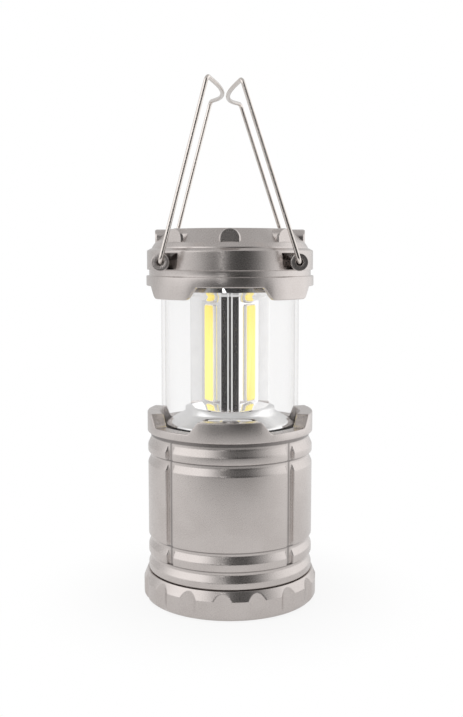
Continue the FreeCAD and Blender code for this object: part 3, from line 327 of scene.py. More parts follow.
FINISHES = {
    "grey_paint": silver_paint(),
    "chrome_plating": chrome_plating(),
    "clear_plastic": clear_plastic(),
    "phosphor": phosphor(),
    "strip_board": strip_board(),
    "handle_wire": bright_wire(),
    "black_plastic": moulded_plastic("black_plastic", (0.012, 0.012, 0.013), (0.022, 0.022, 0.023), 0.45),
    "rubber_seal": moulded_plastic("rubber_seal", (0.010, 0.010, 0.010), (0.018, 0.018, 0.018), 0.70),
    "cell_jacket": moulded_plastic("cell_jacket", (0.050, 0.055, 0.065), (0.075, 0.080, 0.090), 0.30),
    "circuit_board": moulded_plastic("circuit_board", (0.010, 0.120, 0.045), (0.016, 0.160, 0.060), 0.40),
    "lead_jacket": moulded_plastic("lead_jacket", (0.420, 0.022, 0.018), (0.520, 0.030, 0.024), 0.40),
    "screw_steel": sheet_metal("screw_steel", (0.52, 0.51, 0.50), (0.64, 0.63, 0.62), 0.22),
    "spring_steel": sheet_metal("spring_steel", (0.58, 0.57, 0.56), (0.70, 0.69, 0.68), 0.18),
    "brass_strip": sheet_metal("brass_strip", (0.70, 0.50, 0.22), (0.82, 0.62, 0.30), 0.20),
}


# Meshes


def place_piece(name, mesh, body, slot, nodes):
    """Make the object of a finished mesh, attach it to its body and hide the CAD nodes it stands for."""
    mesh.materials.clear()
    mesh.materials.append(FINISHES[slot])
    mesh.shade_smooth()
    mesh.set_sharp_from_angle(angle=SHARP_EDGE)
    piece = bpy.data.objects.new(name, mesh)
    bpy.context.scene.collection.objects.link(piece)
    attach(piece, body)
    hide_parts(*nodes)


def merged(mesh, distance):
    """Close the seams and poles of a mesh."""
    work = bmesh.new()
    work.from_mesh(mesh)
    bmesh.ops.remove_doubles(work, verts=work.verts, dist=distance)
    bmesh.ops.dissolve_degenerate(work, edges=work.edges, dist=distance)
    work.to_mesh(mesh)
    work.free()
    return mesh


def smooth_copy(node, body, slot):
    """A CAD node's own shape with its triangles joined and shaded smooth."""
    mesh = merged(frame["nodes"][node].data.copy(), COPY_WELD)
    place_piece(node + "_skin", mesh, body, slot, [node])


def rounded(corners, steps=5):
    """Points of a profile of (radius, height, round) corners."""
    points = [corners[0][:2]]
    for before, corner, after in zip(corners, corners[1:], corners[2:]):
        here = Vector(corner[:2])
        if corner[2] == 0:
            points.append(corner[:2])
            continue
        back = (Vector(before[:2]) - here).normalized()
        ahead = (Vector(after[:2]) - here).normalized()
        half = back.angle(ahead) / 2
        centre = here + (back + ahead).normalized() * (corner[2] / math.sin(half))
        reach = corner[2] / math.tan(half)
        start, end = here + back * reach - centre, here + ahead * reach - centre
        sweep = start.angle_signed(end)
        for step in range(steps + 1):
            turn = Matrix.Rotation(-sweep * step / steps, 2)
            points.append(tuple(centre + turn @ start))
    points.append(corners[-1][:2])
    return points


def evenly(count, extra=()):
    """Angles all the way round, with more of them where an edge runs."""
    angles = [360 * step / count for step in range(count)] + [angle % 360 for angle in extra]
    kept = []
    for angle in sorted(angles):
        if not kept or angle - kept[-1] > LEAST_TURN:
            kept.append(angle)
    return kept


def ring_skin(name, angles, section, groove_shade=None):
    """Mesh round Z. section(angle) lists (radius, height) once round the wall, inside to outside.

    The last argument, called with (angle, radius, height), says how much painted shade darkens the paint at
    a point, from 0 to 1.
    """
    rows = [section(angle) for angle in angles]
    count = len(rows[0])
    points = []
    for angle, row in zip(angles, rows):
        cos, sin = math.cos(math.radians(angle)), math.sin(math.radians(angle))
        points += [(radius * cos * MM, radius * sin * MM, height * MM) for radius, height in row]
    faces = []
    for column in range(len(rows)):
        following = (column + 1) % len(rows)
        for step in range(count):
            beyond = (step + 1) % count
            faces.append((column * count + step, following * count + step,
                          following * count + beyond, column * count + beyond))
    mesh = bpy.data.meshes.new(name)
    mesh.from_pydata(points, [], faces)
    if groove_shade:
        # The shares go into a point attribute that the paint reads as painted shade.
        shares = [float(groove_shade(angle, *point)) for angle, row in zip(angles, rows) for point in row]
        mesh.attributes.new("groove_shade", "FLOAT", "POINT").data.foreach_set("value", shares)
    return merged(mesh, SKIN_WELD)


def off_quarter(angle, offset=0.0):
    """Signed degrees from the nearest of the four quarter marks."""
    return (angle - offset + QUARTER / 2) % QUARTER - QUARTER / 2


def on_quarters(turns, offset=0.0):
    """The given turns on both sides of each quarter mark."""
    marks = [offset + mark * QUARTER for mark in range(TOOTH_COUNT)]
    return [mark + side * turn for mark in marks for side in (-1, 1) for turn in turns]


def tooth_line(along, top, floor, top_end, floor_start, top_round, floor_round):
    """Height of a toothed edge at a distance from a tooth's middle, with rounded corners."""
    along = abs(along)
    slope = math.atan2(top - floor, floor_start - top_end)
    top_reach = top_round * math.tan(slope / 2)
    floor_reach = floor_round * math.tan(slope / 2)
    if along <= top_end - top_reach:
        return top
    if along < top_end + top_reach * math.cos(slope):
        return top - top_round + math.sqrt(top_round ** 2 - (along - top_end + top_reach) ** 2)
    if along < floor_start - floor_reach * math.cos(slope):
        return top - (along - top_end) * math.tan(slope)
    floor_end = floor_start + floor_reach
    if along < floor_end:
        return floor + floor_round - math.sqrt(floor_round ** 2 - (floor_end - along) ** 2)
    return floor


def tooth_angles(radius, top_end, floor_start):
    """Close-set angles over both flanks of every tooth."""
    low, high = top_end - FLANK_MARGIN, floor_start + FLANK_MARGIN
    flanks = [low + (high - low) * step / FLANK_STEPS for step in range(FLANK_STEPS + 1)]
    return on_quarters([math.degrees(flank / radius) for flank in flanks])


# Base

BODY_RADIUS = 40.5
WAIST_RADIUS = 39.0
WAIST_BAND = 2.0
SHOULDER_HEIGHT = 3.2
SHOULDER_ROUNDS = (2.4, 2.2)
SHOULDER_STEPS = 7
RIB_FOOT_ROUND = 0.6
RIB_FOOT_STEPS = 6
RIB_LEVELS = (14.6, 23.1, 32.1, 73.4, 82.2)
HOUSING_TOP = 83.3
BORE_RADIUS = 37.6
BORE_FLOOR = 17.0
CHANNEL_HALF = 2.25
CHANNEL_ROUND = 0.35
CHANNEL_MARK = 45
# Painted shade in the paint: its strength, the height of the band under each rib's foot, its small reach
# above it, how far in a point must lie, and the half-width in degrees of the line down each channel.
GROOVE_SHADE = 0.75
SHADE_BAND_HEIGHT = 0.5
SHADE_LIFT = 0.1
SHADE_DEPTH = 0.5
SHADE_LINE_TURN = 0.5
NECK_RADIUS = 38.5
NECK_INNER = NECK_RADIUS - 2.3
NECK_FOOT = 5.5
NECK_CHAMFER = 0.6
SEAL_RADIUS = 39.0
SEAL_ROOF = 15.6
SEAL_LIP = 0.05
LUG_RADIUS = 39.9
LUG_LEVELS = (7.5, 9.5)
LUG_HALF_ANGLE = 12
LUG_COUNT = 3
LUG_PITCH = 360 / LUG_COUNT


def rib_profile():
    """Neck, seal groove, then ribs with a rounded foot, a sloped shoulder and a band at the waist."""
    low, high = LUG_LEVELS
    foot = RIB_LEVELS[0]
    lip = BODY_RADIUS - RIB_FOOT_ROUND - SEAL_LIP
    profile = [
        (NECK_INNER, NECK_FOOT), (NECK_RADIUS - NECK_CHAMFER, NECK_FOOT),
        (NECK_RADIUS, NECK_FOOT + NECK_CHAMFER), (NECK_RADIUS, low - EDGE_STEP), (NECK_RADIUS, low),
        (NECK_RADIUS, high), (NECK_RADIUS, high + EDGE_STEP), (NECK_RADIUS, foot),
        (SEAL_RADIUS, foot), (SEAL_RADIUS, SEAL_ROOF), (lip, SEAL_ROOF), (lip, foot),
    ]
    crest, cove = SHOULDER_ROUNDS
    for bottom, top in zip(RIB_LEVELS, RIB_LEVELS[1:]):
        for step in range(RIB_FOOT_STEPS + 1):
            turn = math.radians(90 * step / RIB_FOOT_STEPS)
            profile.append((BODY_RADIUS - RIB_FOOT_ROUND * (1 - math.sin(turn)),
                            bottom + RIB_FOOT_ROUND * (1 - math.cos(turn))))
        band = top - WAIST_BAND
        profile += rounded([
            profile[-1] + (0,), (BODY_RADIUS, band - SHOULDER_HEIGHT, crest), (WAIST_RADIUS, band, cove),
            (WAIST_RADIUS, top - 2 * SHADE_BAND_HEIGHT, 0), (WAIST_RADIUS, top - SHADE_BAND_HEIGHT, 0),
            (WAIST_RADIUS, top, 0),
        ], SHOULDER_STEPS)[1:]
    return profile + [(WAIST_RADIUS, HOUSING_TOP), (BORE_RADIUS, HOUSING_TOP),
                      (BORE_RADIUS, BORE_FLOOR), (NECK_INNER, BORE_FLOOR)]


def base_housing():
    """Ribbed barrel with four upright channels and the bayonet lugs on its neck."""
    profile = rib_profile()

    def section(angle):
        turn = off_quarter(angle, CHANNEL_MARK)
        aside = abs(BODY_RADIUS * math.sin(math.radians(turn)))
        share = min(max((CHANNEL_HALF + CHANNEL_ROUND - aside) / (2 * CHANNEL_ROUND), 0), 1)
        share = share * share * (3 - 2 * share)
        floor = WAIST_RADIUS / math.cos(math.radians(turn))
        lug = abs((angle + LUG_PITCH / 2) % LUG_PITCH - LUG_PITCH / 2) < LUG_HALF_ANGLE
        row = []
        for radius, height in profile:
            if height > RIB_LEVELS[1] and radius > BORE_RADIUS:
                radius += share * (floor - radius)
            if lug and LUG_LEVELS[0] <= height <= LUG_LEVELS[1]:
                radius = LUG_RADIUS
            row.append((radius, height))
        return row

    # Painted shade: the band under each rib's foot, a line down each channel and the wall behind the collar
    # are darkened in the paint where they lie sunk below the ribs.
    def groove_shade(angle, radius, height):
        sunk = radius < BODY_RADIUS - SHADE_DEPTH
        in_groove = any(-SHADE_LIFT < level - height < SHADE_BAND_HEIGHT + EDGE_STEP for level in RIB_LEVELS[1:])
        on_line = abs(off_quarter(angle, CHANNEL_MARK)) < SHADE_LINE_TURN
        in_channel = on_line and RIB_LEVELS[1] < height < HOUSING_TOP
        behind_collar = height > RIB_LEVELS[-1]
        return GROOVE_SHADE * (sunk and (in_groove or in_channel or behind_collar))

    edges = [CHANNEL_HALF + CHANNEL_ROUND * step / 4 for step in range(-6, 6)]
    turns = [math.degrees(math.asin(edge / BODY_RADIUS)) for edge in edges]
    extra = on_quarters(turns, CHANNEL_MARK)
    extra += [mark * LUG_PITCH + side * (LUG_HALF_ANGLE + spare)
              for mark in range(LUG_COUNT) for side in (-1, 1) for spare in (-EDGE_STEP, EDGE_STEP)]
    mesh = ring_skin("ribbed_housing", evenly(ROUND_STEPS, extra), section, groove_shade)
    place_piece("ribbed_housing", mesh, "base", "grey_paint", ["base_housing"])


COLLAR_RADIUS = 40.7
COLLAR_INNER = 34.4
COLLAR_FOOT = RIB_LEVELS[-1]
COLLAR_LIP = 0.1
COLLAR_EDGE = 0.55
SPIGOT_PLAY = 0.05
TOOTH_TOP = 93.1
TOOTH_FLOOR = 87.1
TOOTH_TOP_ROUND = 1.5
TOOTH_FLOOR_ROUND = 1.8
TOOTH_TOP_END = COLLAR_RADIUS * math.radians(21.4)
TOOTH_FLOOR_START = COLLAR_RADIUS * math.radians(28.5)


def collar_ring():
    """Ring with four broad teeth; every edge is softened."""

    def section(angle):
        along = COLLAR_RADIUS * math.radians(off_quarter(angle))
        top = tooth_line(along, TOOTH_TOP, TOOTH_FLOOR, TOOTH_TOP_END, TOOTH_FLOOR_START,
                         TOOTH_TOP_ROUND, TOOTH_FLOOR_ROUND)
        spigot = BORE_RADIUS - SPIGOT_PLAY
        return rounded([
            (COLLAR_INNER, COLLAR_FOOT, 0), (spigot, COLLAR_FOOT, 0), (spigot, HOUSING_TOP, 0),
            (COLLAR_RADIUS, HOUSING_TOP, RIB_FOOT_ROUND), (COLLAR_RADIUS, top, COLLAR_EDGE),
            (COLLAR_INNER, top, COLLAR_EDGE), (COLLAR_INNER, COLLAR_FOOT + COLLAR_LIP, 0),
        ])

    angles = evenly(ROUND_STEPS, tooth_angles(COLLAR_RADIUS, TOOTH_TOP_END, TOOTH_FLOOR_START))
    mesh = ring_skin("toothed_collar", angles, section)
    place_piece("toothed_collar", mesh, "base", "grey_paint", ["collar_ring"])


# Bottom cover

COVER_RADIUS = 43.0
SCALLOP_COUNT = 16
SCALLOP_RADIUS = 7.6
SCALLOP_DEPTH = 1.5
SCALLOP_TURN = 17.6
SCALLOP_BLEND = 0.15
SCALLOP_STEPS = 40
COVER_FLOOR = 1.8
COVER_PLAY = 0.4
COVER_FOOT_ROUND = 3.2
COVER_WALL_TOP = 9.8
COVER_TOP = 14.3
COVER_STEPS = 6
RIM_INSET = 1.9
RIM_EDGE = 0.15
RIM_STEPS = 16
RIM_START = (NECK_RADIUS * MM, (NECK_RADIUS + 1.0) * MM)


def scallop_tree():
    """Geometry Nodes that press finger scallops into a round rim."""
    tree = bpy.data.node_groups.new("finger_scallops", "GeometryNodeTree")
    sheet = NodeSheet(tree)
    tree.interface.new_socket("Rim", in_out="INPUT", socket_type="NodeSocketGeometry")
    for name in ("Count", "Turn", "Scallop radius", "Scallop centre", "Blend"):
        tree.interface.new_socket(name, in_out="INPUT", socket_type="NodeSocketFloat")
    tree.interface.new_socket("Finish", in_out="INPUT", socket_type="NodeSocketMaterial")
    tree.interface.new_socket("Rim", in_out="OUTPUT", socket_type="NodeSocketGeometry")
    given = sheet.node("NodeGroupInput")
    x, y, height = sheet.split(sheet.node("GeometryNodeInputPosition")["Position"])
    radius = (x * x + y * y) ** 0.5
    pitch = 2 * math.pi / given["Count"]
    angle = y.maths("ARCTAN2", y, x)
    turned = angle - given["Turn"] + pitch * 0.5
    from_scallop = turned.maths("FLOORED_MODULO", turned, pitch) - pitch * 0.5
    centre = given["Scallop centre"]
    aside = centre * from_scallop.maths("SINE", from_scallop)
    hollow = given["Scallop radius"]
    chord = aside.maths("MAXIMUM", hollow * hollow - aside * aside, 0.0)
    wall = centre * from_scallop.maths("COSINE", from_scallop) - chord ** 0.5
    kept = radius.maths("SMOOTH_MIN", radius, wall, given["Blend"])
    on_rim = radius.ramp(*RIM_START)
    scale = 1 + on_rim * (kept / radius.maths("MAXIMUM", radius, MM) - 1)
    spot = {"X": x * scale, "Y": y * scale, "Z": height}
    place = sheet.node("ShaderNodeCombineXYZ", None, spot)["Vector"]
    moved = sheet.node("GeometryNodeSetPosition", None, {"Geometry": given["Rim"], "Position": place})
    real = sheet.node("GeometryNodeRealizeInstances", None, {"Geometry": moved["Geometry"]})
    painted = sheet.node("GeometryNodeSetMaterial", None,
                         {"Geometry": real["Geometry"], "Material": given["Finish"]})
    sheet.node("NodeGroupOutput", None, {"Rim": painted["Geometry"]})
    return tree


def grown(name, mesh, tree, values):
    """Run a Geometry Nodes tree on a mesh with its named inputs set, and keep the plain mesh."""
    carrier = bpy.data.objects.new(name + "_carrier", mesh)
    bpy.context.scene.collection.objects.link(carrier)
    modifier = carrier.modifiers.new(tree.name, "NODES")
    modifier.node_group = tree
    for item in tree.interface.items_tree:
        if item.in_out == "INPUT" and item.name in values:
            modifier[item.identifier] = values[item.name]
    evaluated = carrier.evaluated_get(bpy.context.evaluated_depsgraph_get())
    plain = bpy.data.meshes.new_from_object(evaluated)
    plain.name = name
    carrier.modifiers.clear()
    bpy.data.objects.remove(carrier)
    return plain


def bottom_cover():
    """Twist-off cup with a chamfered rim and sixteen finger scallops."""
    bore = NECK_RADIUS + COVER_PLAY
    rise = COVER_TOP - COVER_WALL_TOP
    slope = [step / RIM_STEPS for step in range(1, RIM_STEPS)]
    chamfer = [(COVER_RADIUS - RIM_INSET * part, COVER_WALL_TOP + rise * part, 0) for part in slope]
    profile = rounded([
        (0, COVER_FLOOR, 0), (0, 0, 0), (COVER_RADIUS, 0, COVER_FOOT_ROUND),
        (COVER_RADIUS, COVER_WALL_TOP, RIM_EDGE), *chamfer,
        (COVER_RADIUS - RIM_INSET, COVER_TOP, RIM_EDGE), (bore, COVER_TOP, 0.25),
        (bore, COVER_FLOOR, 0.4), (0, COVER_FLOOR, 0),
    ], COVER_STEPS)
    count = SCALLOP_COUNT * SCALLOP_STEPS
    angles = [SCALLOP_TURN + 360 * step / count for step in range(count)]
    cup = ring_skin("scalloped_cover", angles, lambda angle: profile)
    mesh = grown("scalloped_cover", cup, scallop_tree(), {
        "Count": float(SCALLOP_COUNT),
        "Turn": math.radians(SCALLOP_TURN),
        "Scallop radius": SCALLOP_RADIUS * MM,
        "Scallop centre": (COVER_RADIUS - SCALLOP_DEPTH + SCALLOP_RADIUS) * MM,
        "Blend": SCALLOP_BLEND * MM,
        "Finish": FINISHES["grey_paint"],
    })
    place_piece("scalloped_cover", mesh, "cover", "grey_paint", ["bottom_cover"])


# Head

PANEL_COUNT = 3
PANEL_TURN = -30
SEAM_TURN = math.radians(180 / PANEL_COUNT)
PAN_FLOOR = 10.8
PAN_WALL = 1.2
SEAM_HALF = 0.06
BEAD_HALF = 1.2
BEAD_SLOPE = math.radians(50)
BEAD_GAP = 0.05
PAN_STEPS = 8
RIDGE_FRONT = 20.4
RIDGE_HALF = 4.7
RIDGE_CORNER = 0.9
DISH_RADIUS = 22.0
DISH_LEVEL = 94.8
DISH_SLOPE = 0.25
FLARE_START = 146.0
FLARE_SLOPE = 5.0 / 13.2


def pan_half(front, half, floor, corner):
    """From the seam to the middle of the floor, as (distance along the seam, distance from it)."""
    curve = BEAD_HALF / math.sin(BEAD_SLOPE)
    bead = []
    for step in range(PAN_STEPS + 1):
        turn = BEAD_SLOPE * step / PAN_STEPS
        aside = max(curve * math.sin(turn), SEAM_HALF)
        bead.append((front + curve * (math.cos(turn) - math.cos(BEAD_SLOPE)), aside))
    foot = (floor - half * math.sin(SEAM_TURN)) / math.cos(SEAM_TURN)
    middle = (floor * math.cos(SEAM_TURN), floor * math.sin(SEAM_TURN), 0)
    wall = [(front, BEAD_HALF + BEAD_GAP, 0), (front, half, corner), (foot, half, corner / 2), middle]
    return bead + rounded(wall, PAN_STEPS)


def pan_outline(half_path):
    """Both halves of a pan, its floor across the X axis."""
    cos, sin = math.cos(SEAM_TURN), math.sin(SEAM_TURN)
    upper = [(along * cos + aside * sin, along * sin - aside * cos) for along, aside in half_path]
    return upper + [(x, -y) for x, y in reversed(upper[:-1])]


def chromed_pan(number):
    """Reflector between two seams: floor, side walls, half of a flat ridge with its bead on each side."""
    outer = pan_outline(pan_half(RIDGE_FRONT, RIDGE_HALF, PAN_FLOOR, RIDGE_CORNER))
    inner = pan_outline(pan_half(RIDGE_FRONT - PAN_WALL, RIDGE_HALF - PAN_WALL, PAN_FLOOR - PAN_WALL,
                                 RIDGE_CORNER - PAN_WALL / 2))
    loop = outer + inner[::-1]
    turn = Matrix.Rotation(math.radians(PANEL_TURN + number * 360 / PANEL_COUNT), 3, "Z")
    points = []
    for x, y in loop:
        away = math.hypot(x, y)
        low = DISH_LEVEL + (DISH_RADIUS - away) * DISH_SLOPE
        high = FLARE_START + (away - PAN_FLOOR) * FLARE_SLOPE
        points += [turn @ (Vector((x, y, low)) * MM), turn @ (Vector((x, y, high)) * MM)]
    count = len(loop)
    faces = []
    for step in range(count):
        here, beyond = 2 * step, 2 * ((step + 1) % count)
        faces.append((here + 1, beyond + 1, beyond, here))
    for step in range(len(outer) - 1):
        near, far = 2 * step, 2 * (count - 1 - step)
        faces.append((near, near + 2, far - 2, far))
        faces.append((far + 1, far - 1, near + 3, near + 1))
    mesh = bpy.data.meshes.new("reflector_%d_skin" % (number + 1))
    mesh.from_pydata(points, [], faces)
    place_piece(mesh.name, mesh, "head", "chrome_plating", ["reflector_%d" % (number + 1)])


def light_core():
    """Tube, chromed mouldings and light strips."""
    smooth_copy("clear_tube", "head", "clear_plastic")
    for node in ("lower_dish", "top_reflector"):
        smooth_copy(node, "head", "chrome_plating")
    for number in range(PANEL_COUNT):
        chromed_pan(number)
        smooth_copy("cob_board_%d" % (number + 1), "head", "strip_board")
        smooth_copy("cob_phosphor_%d" % (number + 1), "head", "phosphor")


SKIRT_RADIUS = 40.65
SKIRT_BOTTOM = 148.7
SKIRT_TOP = 159.3
NOTCH_ROOF = 154.5
NOTCH_ROOF_END = SKIRT_RADIUS * math.radians(22.8)
NOTCH_MOUTH_START = SKIRT_RADIUS * math.radians(29.4)
NOTCH_ROOF_ROUND = 1.8
NOTCH_MOUTH_ROUND = 3.4
CAP_INNER = 37.9
CAP_LINING = ((0, 178.4, 0), (CAP_INNER - 9.7, 178.4, 0),
              (CAP_INNER - 5.9, 172.8, 0), (CAP_INNER, 166.9, 0))
GROOVE_RADIUS = 39.3
BAND_RADIUS = 40.3
BAND_BOTTOM = 162.2
BAND_TOP = 171.3
POCKET_FLOOR = 24.0
POCKET_SIDE = 24.4
POCKET_LEAN = 0.17
POCKET_LEVELS = (162.6, 170.2)
POCKET_EDGE = 0.02
POCKET_ROWS = (2.5, 5.0)
POCKET_SHIFTS = (-0.8, -0.4, 0, 0.4, 0.8)
POCKET_SPARES = (-0.15, 0, 0.15)
LEAST_SHARE = 1e-6
CROWN_STEP = ((38.3, 172.35, 0.15), (37.85, 172.4, 0.1), (37.75, 173.0, 0.15), (36.4, 175.0, 0.3))
CROWN_RADIUS = 29.4
CROWN_TOP = 181.6
RECESS_RADIUS = 28.5
RECESS_LEVEL = CROWN_TOP - 1.0
PIVOT_OFFSET = 31.5
PIVOT_LEVEL = 166.0


def pocket_radius(angle, height):
    """Distance from the axis to the wall of a handle pocket."""
    across = max(abs(math.cos(math.radians(angle))), LEAST_SHARE)
    deep = max(abs(math.sin(math.radians(angle))), LEAST_SHARE)
    side = POCKET_SIDE - POCKET_LEAN * (height - PIVOT_LEVEL)
    return max(POCKET_FLOOR / deep, side / across)


def cap_section(angle):
    """Lining, skirt with its notches, groove, band with the handle pockets, crown and sunk top."""
    along = SKIRT_RADIUS * math.radians(off_quarter(angle))
    bottom = tooth_line(along, NOTCH_ROOF, SKIRT_BOTTOM, NOTCH_ROOF_END, NOTCH_MOUTH_START,
                        NOTCH_ROOF_ROUND, NOTCH_MOUTH_ROUND)
    low, high = POCKET_LEVELS
    heights = [low - POCKET_EDGE, low + POCKET_EDGE, *(low + row for row in POCKET_ROWS),
               high - POCKET_EDGE, high + POCKET_EDGE]
    profile = rounded([
        *CAP_LINING, (CAP_INNER, bottom, 0.4), (SKIRT_RADIUS, bottom, 0.5),
        (SKIRT_RADIUS, SKIRT_TOP, 0.3), (GROOVE_RADIUS, SKIRT_TOP, 0.2),
        (GROOVE_RADIUS, BAND_BOTTOM, 0.2), (BAND_RADIUS, BAND_BOTTOM, 0.25),
        *((BAND_RADIUS, height, 0) for height in heights), (BAND_RADIUS, BAND_TOP, 0.6),
        *CROWN_STEP, (CROWN_RADIUS, CROWN_TOP, 0.8), (RECESS_RADIUS, CROWN_TOP, 0.35),
        (RECESS_RADIUS, RECESS_LEVEL, 0.3), (0, RECESS_LEVEL, 0),
    ])
    row = []
    for radius, height in profile:
        if low < height < high and radius > CAP_INNER:
            radius = min(radius, pocket_radius(angle, height))
        row.append((radius, height))
    return row


def cap_shell():
    """Cap without tabs and bosses, with more columns at the edges of its pockets and notches."""
    sides = [POCKET_SIDE + shift for shift in POCKET_SHIFTS]
    edges = [math.degrees(math.atan2(POCKET_FLOOR, side)) for side in sides[::2]]
    edges += [math.degrees(math.asin(POCKET_FLOOR / BAND_RADIUS))]
    edges += [math.degrees(math.acos(side / BAND_RADIUS)) for side in sides]
    pocket = [edge + spare for edge in edges for spare in POCKET_SPARES]
    extra = [angle for edge in pocket for angle in (edge, 180 - edge, 180 + edge, -edge)]
    extra += tooth_angles(SKIRT_RADIUS, NOTCH_ROOF_END, NOTCH_MOUTH_START)
    return ring_skin("cap_shell", evenly(ROUND_STEPS, extra), cap_section)


BOSS_FACE = 35.5
BOSS_RADIUS = 4.0
BOSS_EDGE = 0.3
BOSS_ROOT = -13.7
BOSS_STEPS = 64
HOLE_RADIUS = 1.6
HOLE_FLOOR = -7.0


def boss_mesh():
    """One handle boss, turned about Z with its face up at the origin."""
    profile = rounded([
        (0, HOLE_FLOOR, 0), (0, BOSS_ROOT, 0), (BOSS_RADIUS, BOSS_ROOT, 0), (BOSS_RADIUS, 0, BOSS_EDGE),
        (HOLE_RADIUS, 0, BOSS_EDGE), (HOLE_RADIUS, HOLE_FLOOR, 0), (0, HOLE_FLOOR, 0),
    ])
    return ring_skin("handle_boss", evenly(BOSS_STEPS), lambda angle: profile)


TAB_ARCH_SHARE = 0.999
TAB_ARCH_STEPS = 14


def tab_tree():
    """Geometry Nodes that set arched tabs round the crown, each with a chamfered face."""
    tree = bpy.data.node_groups.new("crown_tabs", "GeometryNodeTree")
    sheet = NodeSheet(tree)
    tree.interface.new_socket("Base", in_out="INPUT", socket_type="NodeSocketGeometry")
    tree.interface.new_socket("Count", in_out="INPUT", socket_type="NodeSocketInt")
    for name in ("Half width", "Height", "Root radius", "Face radius", "Foot level", "Chamfer"):
        tree.interface.new_socket(name, in_out="INPUT", socket_type="NodeSocketFloat")
    tree.interface.new_socket("Finish", in_out="INPUT", socket_type="NodeSocketMaterial")
    tree.interface.new_socket("Tabs", in_out="OUTPUT", socket_type="NodeSocketGeometry")
    given = sheet.node("NodeGroupInput")
    half, tall = given["Half width"], given["Height"]
    outline = sheet.node("GeometryNodeCurvePrimitiveQuadrilateral", None,
                         {"Width": half * 2.0, "Height": tall})["Curve"]
    _, upward, _ = sheet.split(sheet.node("GeometryNodeInputPosition")["Position"])
    above = upward.maths("GREATER_THAN", upward, 0.0)
    bend = above * half * TAB_ARCH_SHARE
    arch = sheet.node("GeometryNodeFilletCurve", {"mode": "POLY"},
                      {"Curve": outline, "Count": TAB_ARCH_STEPS, "Radius": bend})["Curve"]
    back = sheet.node("GeometryNodeFillCurve", {"mode": "NGONS"}, {"Curve": arch})["Mesh"]
    depth = given["Face radius"] - given["Root radius"]
    chamfer = given["Chamfer"]
    body = sheet.node("GeometryNodeExtrudeMesh", {"mode": "FACES"},
                      {"Mesh": back, "Offset Scale": depth - chamfer, "Individual": False})
    face = sheet.node("GeometryNodeExtrudeMesh", {"mode": "FACES"}, {
        "Mesh": body["Mesh"], "Selection": body["Top"], "Offset Scale": chamfer, "Individual": False})
    shrunk = sheet.node("GeometryNodeScaleElements", {"domain": "FACE"}, {
        "Geometry": face["Mesh"], "Selection": face["Top"], "Scale": 1 - chamfer / half})["Geometry"]
    closing = sheet.node("GeometryNodeFlipFaces", None, {"Mesh": back})["Mesh"]
    joined = sheet.node("GeometryNodeJoinGeometry")
    for part in (closing, shrunk):
        sheet.feed(joined.node.inputs["Geometry"], part)
    whole = sheet.node("GeometryNodeMergeByDistance", None,
                       {"Geometry": joined["Geometry"], "Distance": COPY_WELD})
    aside, _, _ = sheet.split(sheet.node("GeometryNodeInputPosition")["Position"])
    facing = given["Face radius"]
    sag = (facing * facing - aside * aside) ** 0.5 - facing
    curve = sheet.node("ShaderNodeCombineXYZ", None, {"Z": sag})["Vector"]
    curved = sheet.node("GeometryNodeSetPosition", None, {"Geometry": whole["Geometry"], "Offset": curve})
    spot = sheet.node("ShaderNodeCombineXYZ", None,
                      {"X": given["Root radius"], "Z": given["Foot level"] + tall * 0.5})["Vector"]
    quarter = math.pi / 2
    stood = sheet.node("GeometryNodeTransform", None, {
        "Geometry": curved["Geometry"], "Translation": spot, "Rotation": (quarter, 0, quarter)})["Geometry"]
    dots = sheet.node("GeometryNodePoints", None, {"Count": given["Count"]})["Points"]
    step = sheet.node("GeometryNodeInputIndex")["Index"] * (2 * math.pi / given["Count"])
    turn = sheet.node("ShaderNodeCombineXYZ", None, {"Z": step})["Vector"]
    ring = sheet.node("GeometryNodeInstanceOnPoints", None,
                      {"Points": dots, "Instance": stood, "Rotation": turn})["Instances"]
    real = sheet.node("GeometryNodeRealizeInstances", None, {"Geometry": ring})["Geometry"]
    painted = sheet.node("GeometryNodeSetMaterial", None, {"Geometry": real, "Material": given["Finish"]})
    sheet.node("NodeGroupOutput", None, {"Tabs": painted["Geometry"]})
    return tree


def crown_tabs():
    """Eight arched tabs round the crown, their tops level with it."""
    return grown("crown_tabs", bpy.data.meshes.new("crown_tabs"), tab_tree(), {
        "Count": 8,
        "Half width": 5.0 * MM,
        "Height": 7.6 * MM,
        "Root radius": 28.7 * MM,
        "Face radius": 36.3 * MM,
        "Foot level": 173.9 * MM,
        "Chamfer": 0.75 * MM,
        "Finish": FINISHES["grey_paint"],
    })


def top_cap():
    """Cap with its skirt teeth, band, crown, arched tabs and the four handle bosses."""
    work = bmesh.new()
    work.from_mesh(cap_shell())
    work.from_mesh(crown_tabs())
    boss = boss_mesh()
    for side in (-1, 1):
        for depth in (-1, 1):
            placed = boss.copy()
            turn = Matrix.Rotation(-depth * math.pi / 2, 4, "X")
            spot = Vector((side * PIVOT_OFFSET, depth * BOSS_FACE, PIVOT_LEVEL)) * MM
            placed.transform(Matrix.Translation(spot) @ turn)
            work.from_mesh(placed)
    mesh = bpy.data.meshes.new("painted_cap")
    work.to_mesh(mesh)
    work.free()
    place_piece("painted_cap", mesh, "head", "grey_paint", ["top_cap"])


# Handles

LEG_PLANE = 37.7
LEG_LENGTH = 84.7
PIN_END = 30.0
BOW_POINT = 10.2
BOW_RADIUS = 100.0
WIRE_RADIUS = 1.0
WIRE_BEND = 2.4
WIRE_STEPS = 20
LEFT_LEAN = 14.7
RIGHT_LEAN = 18.0


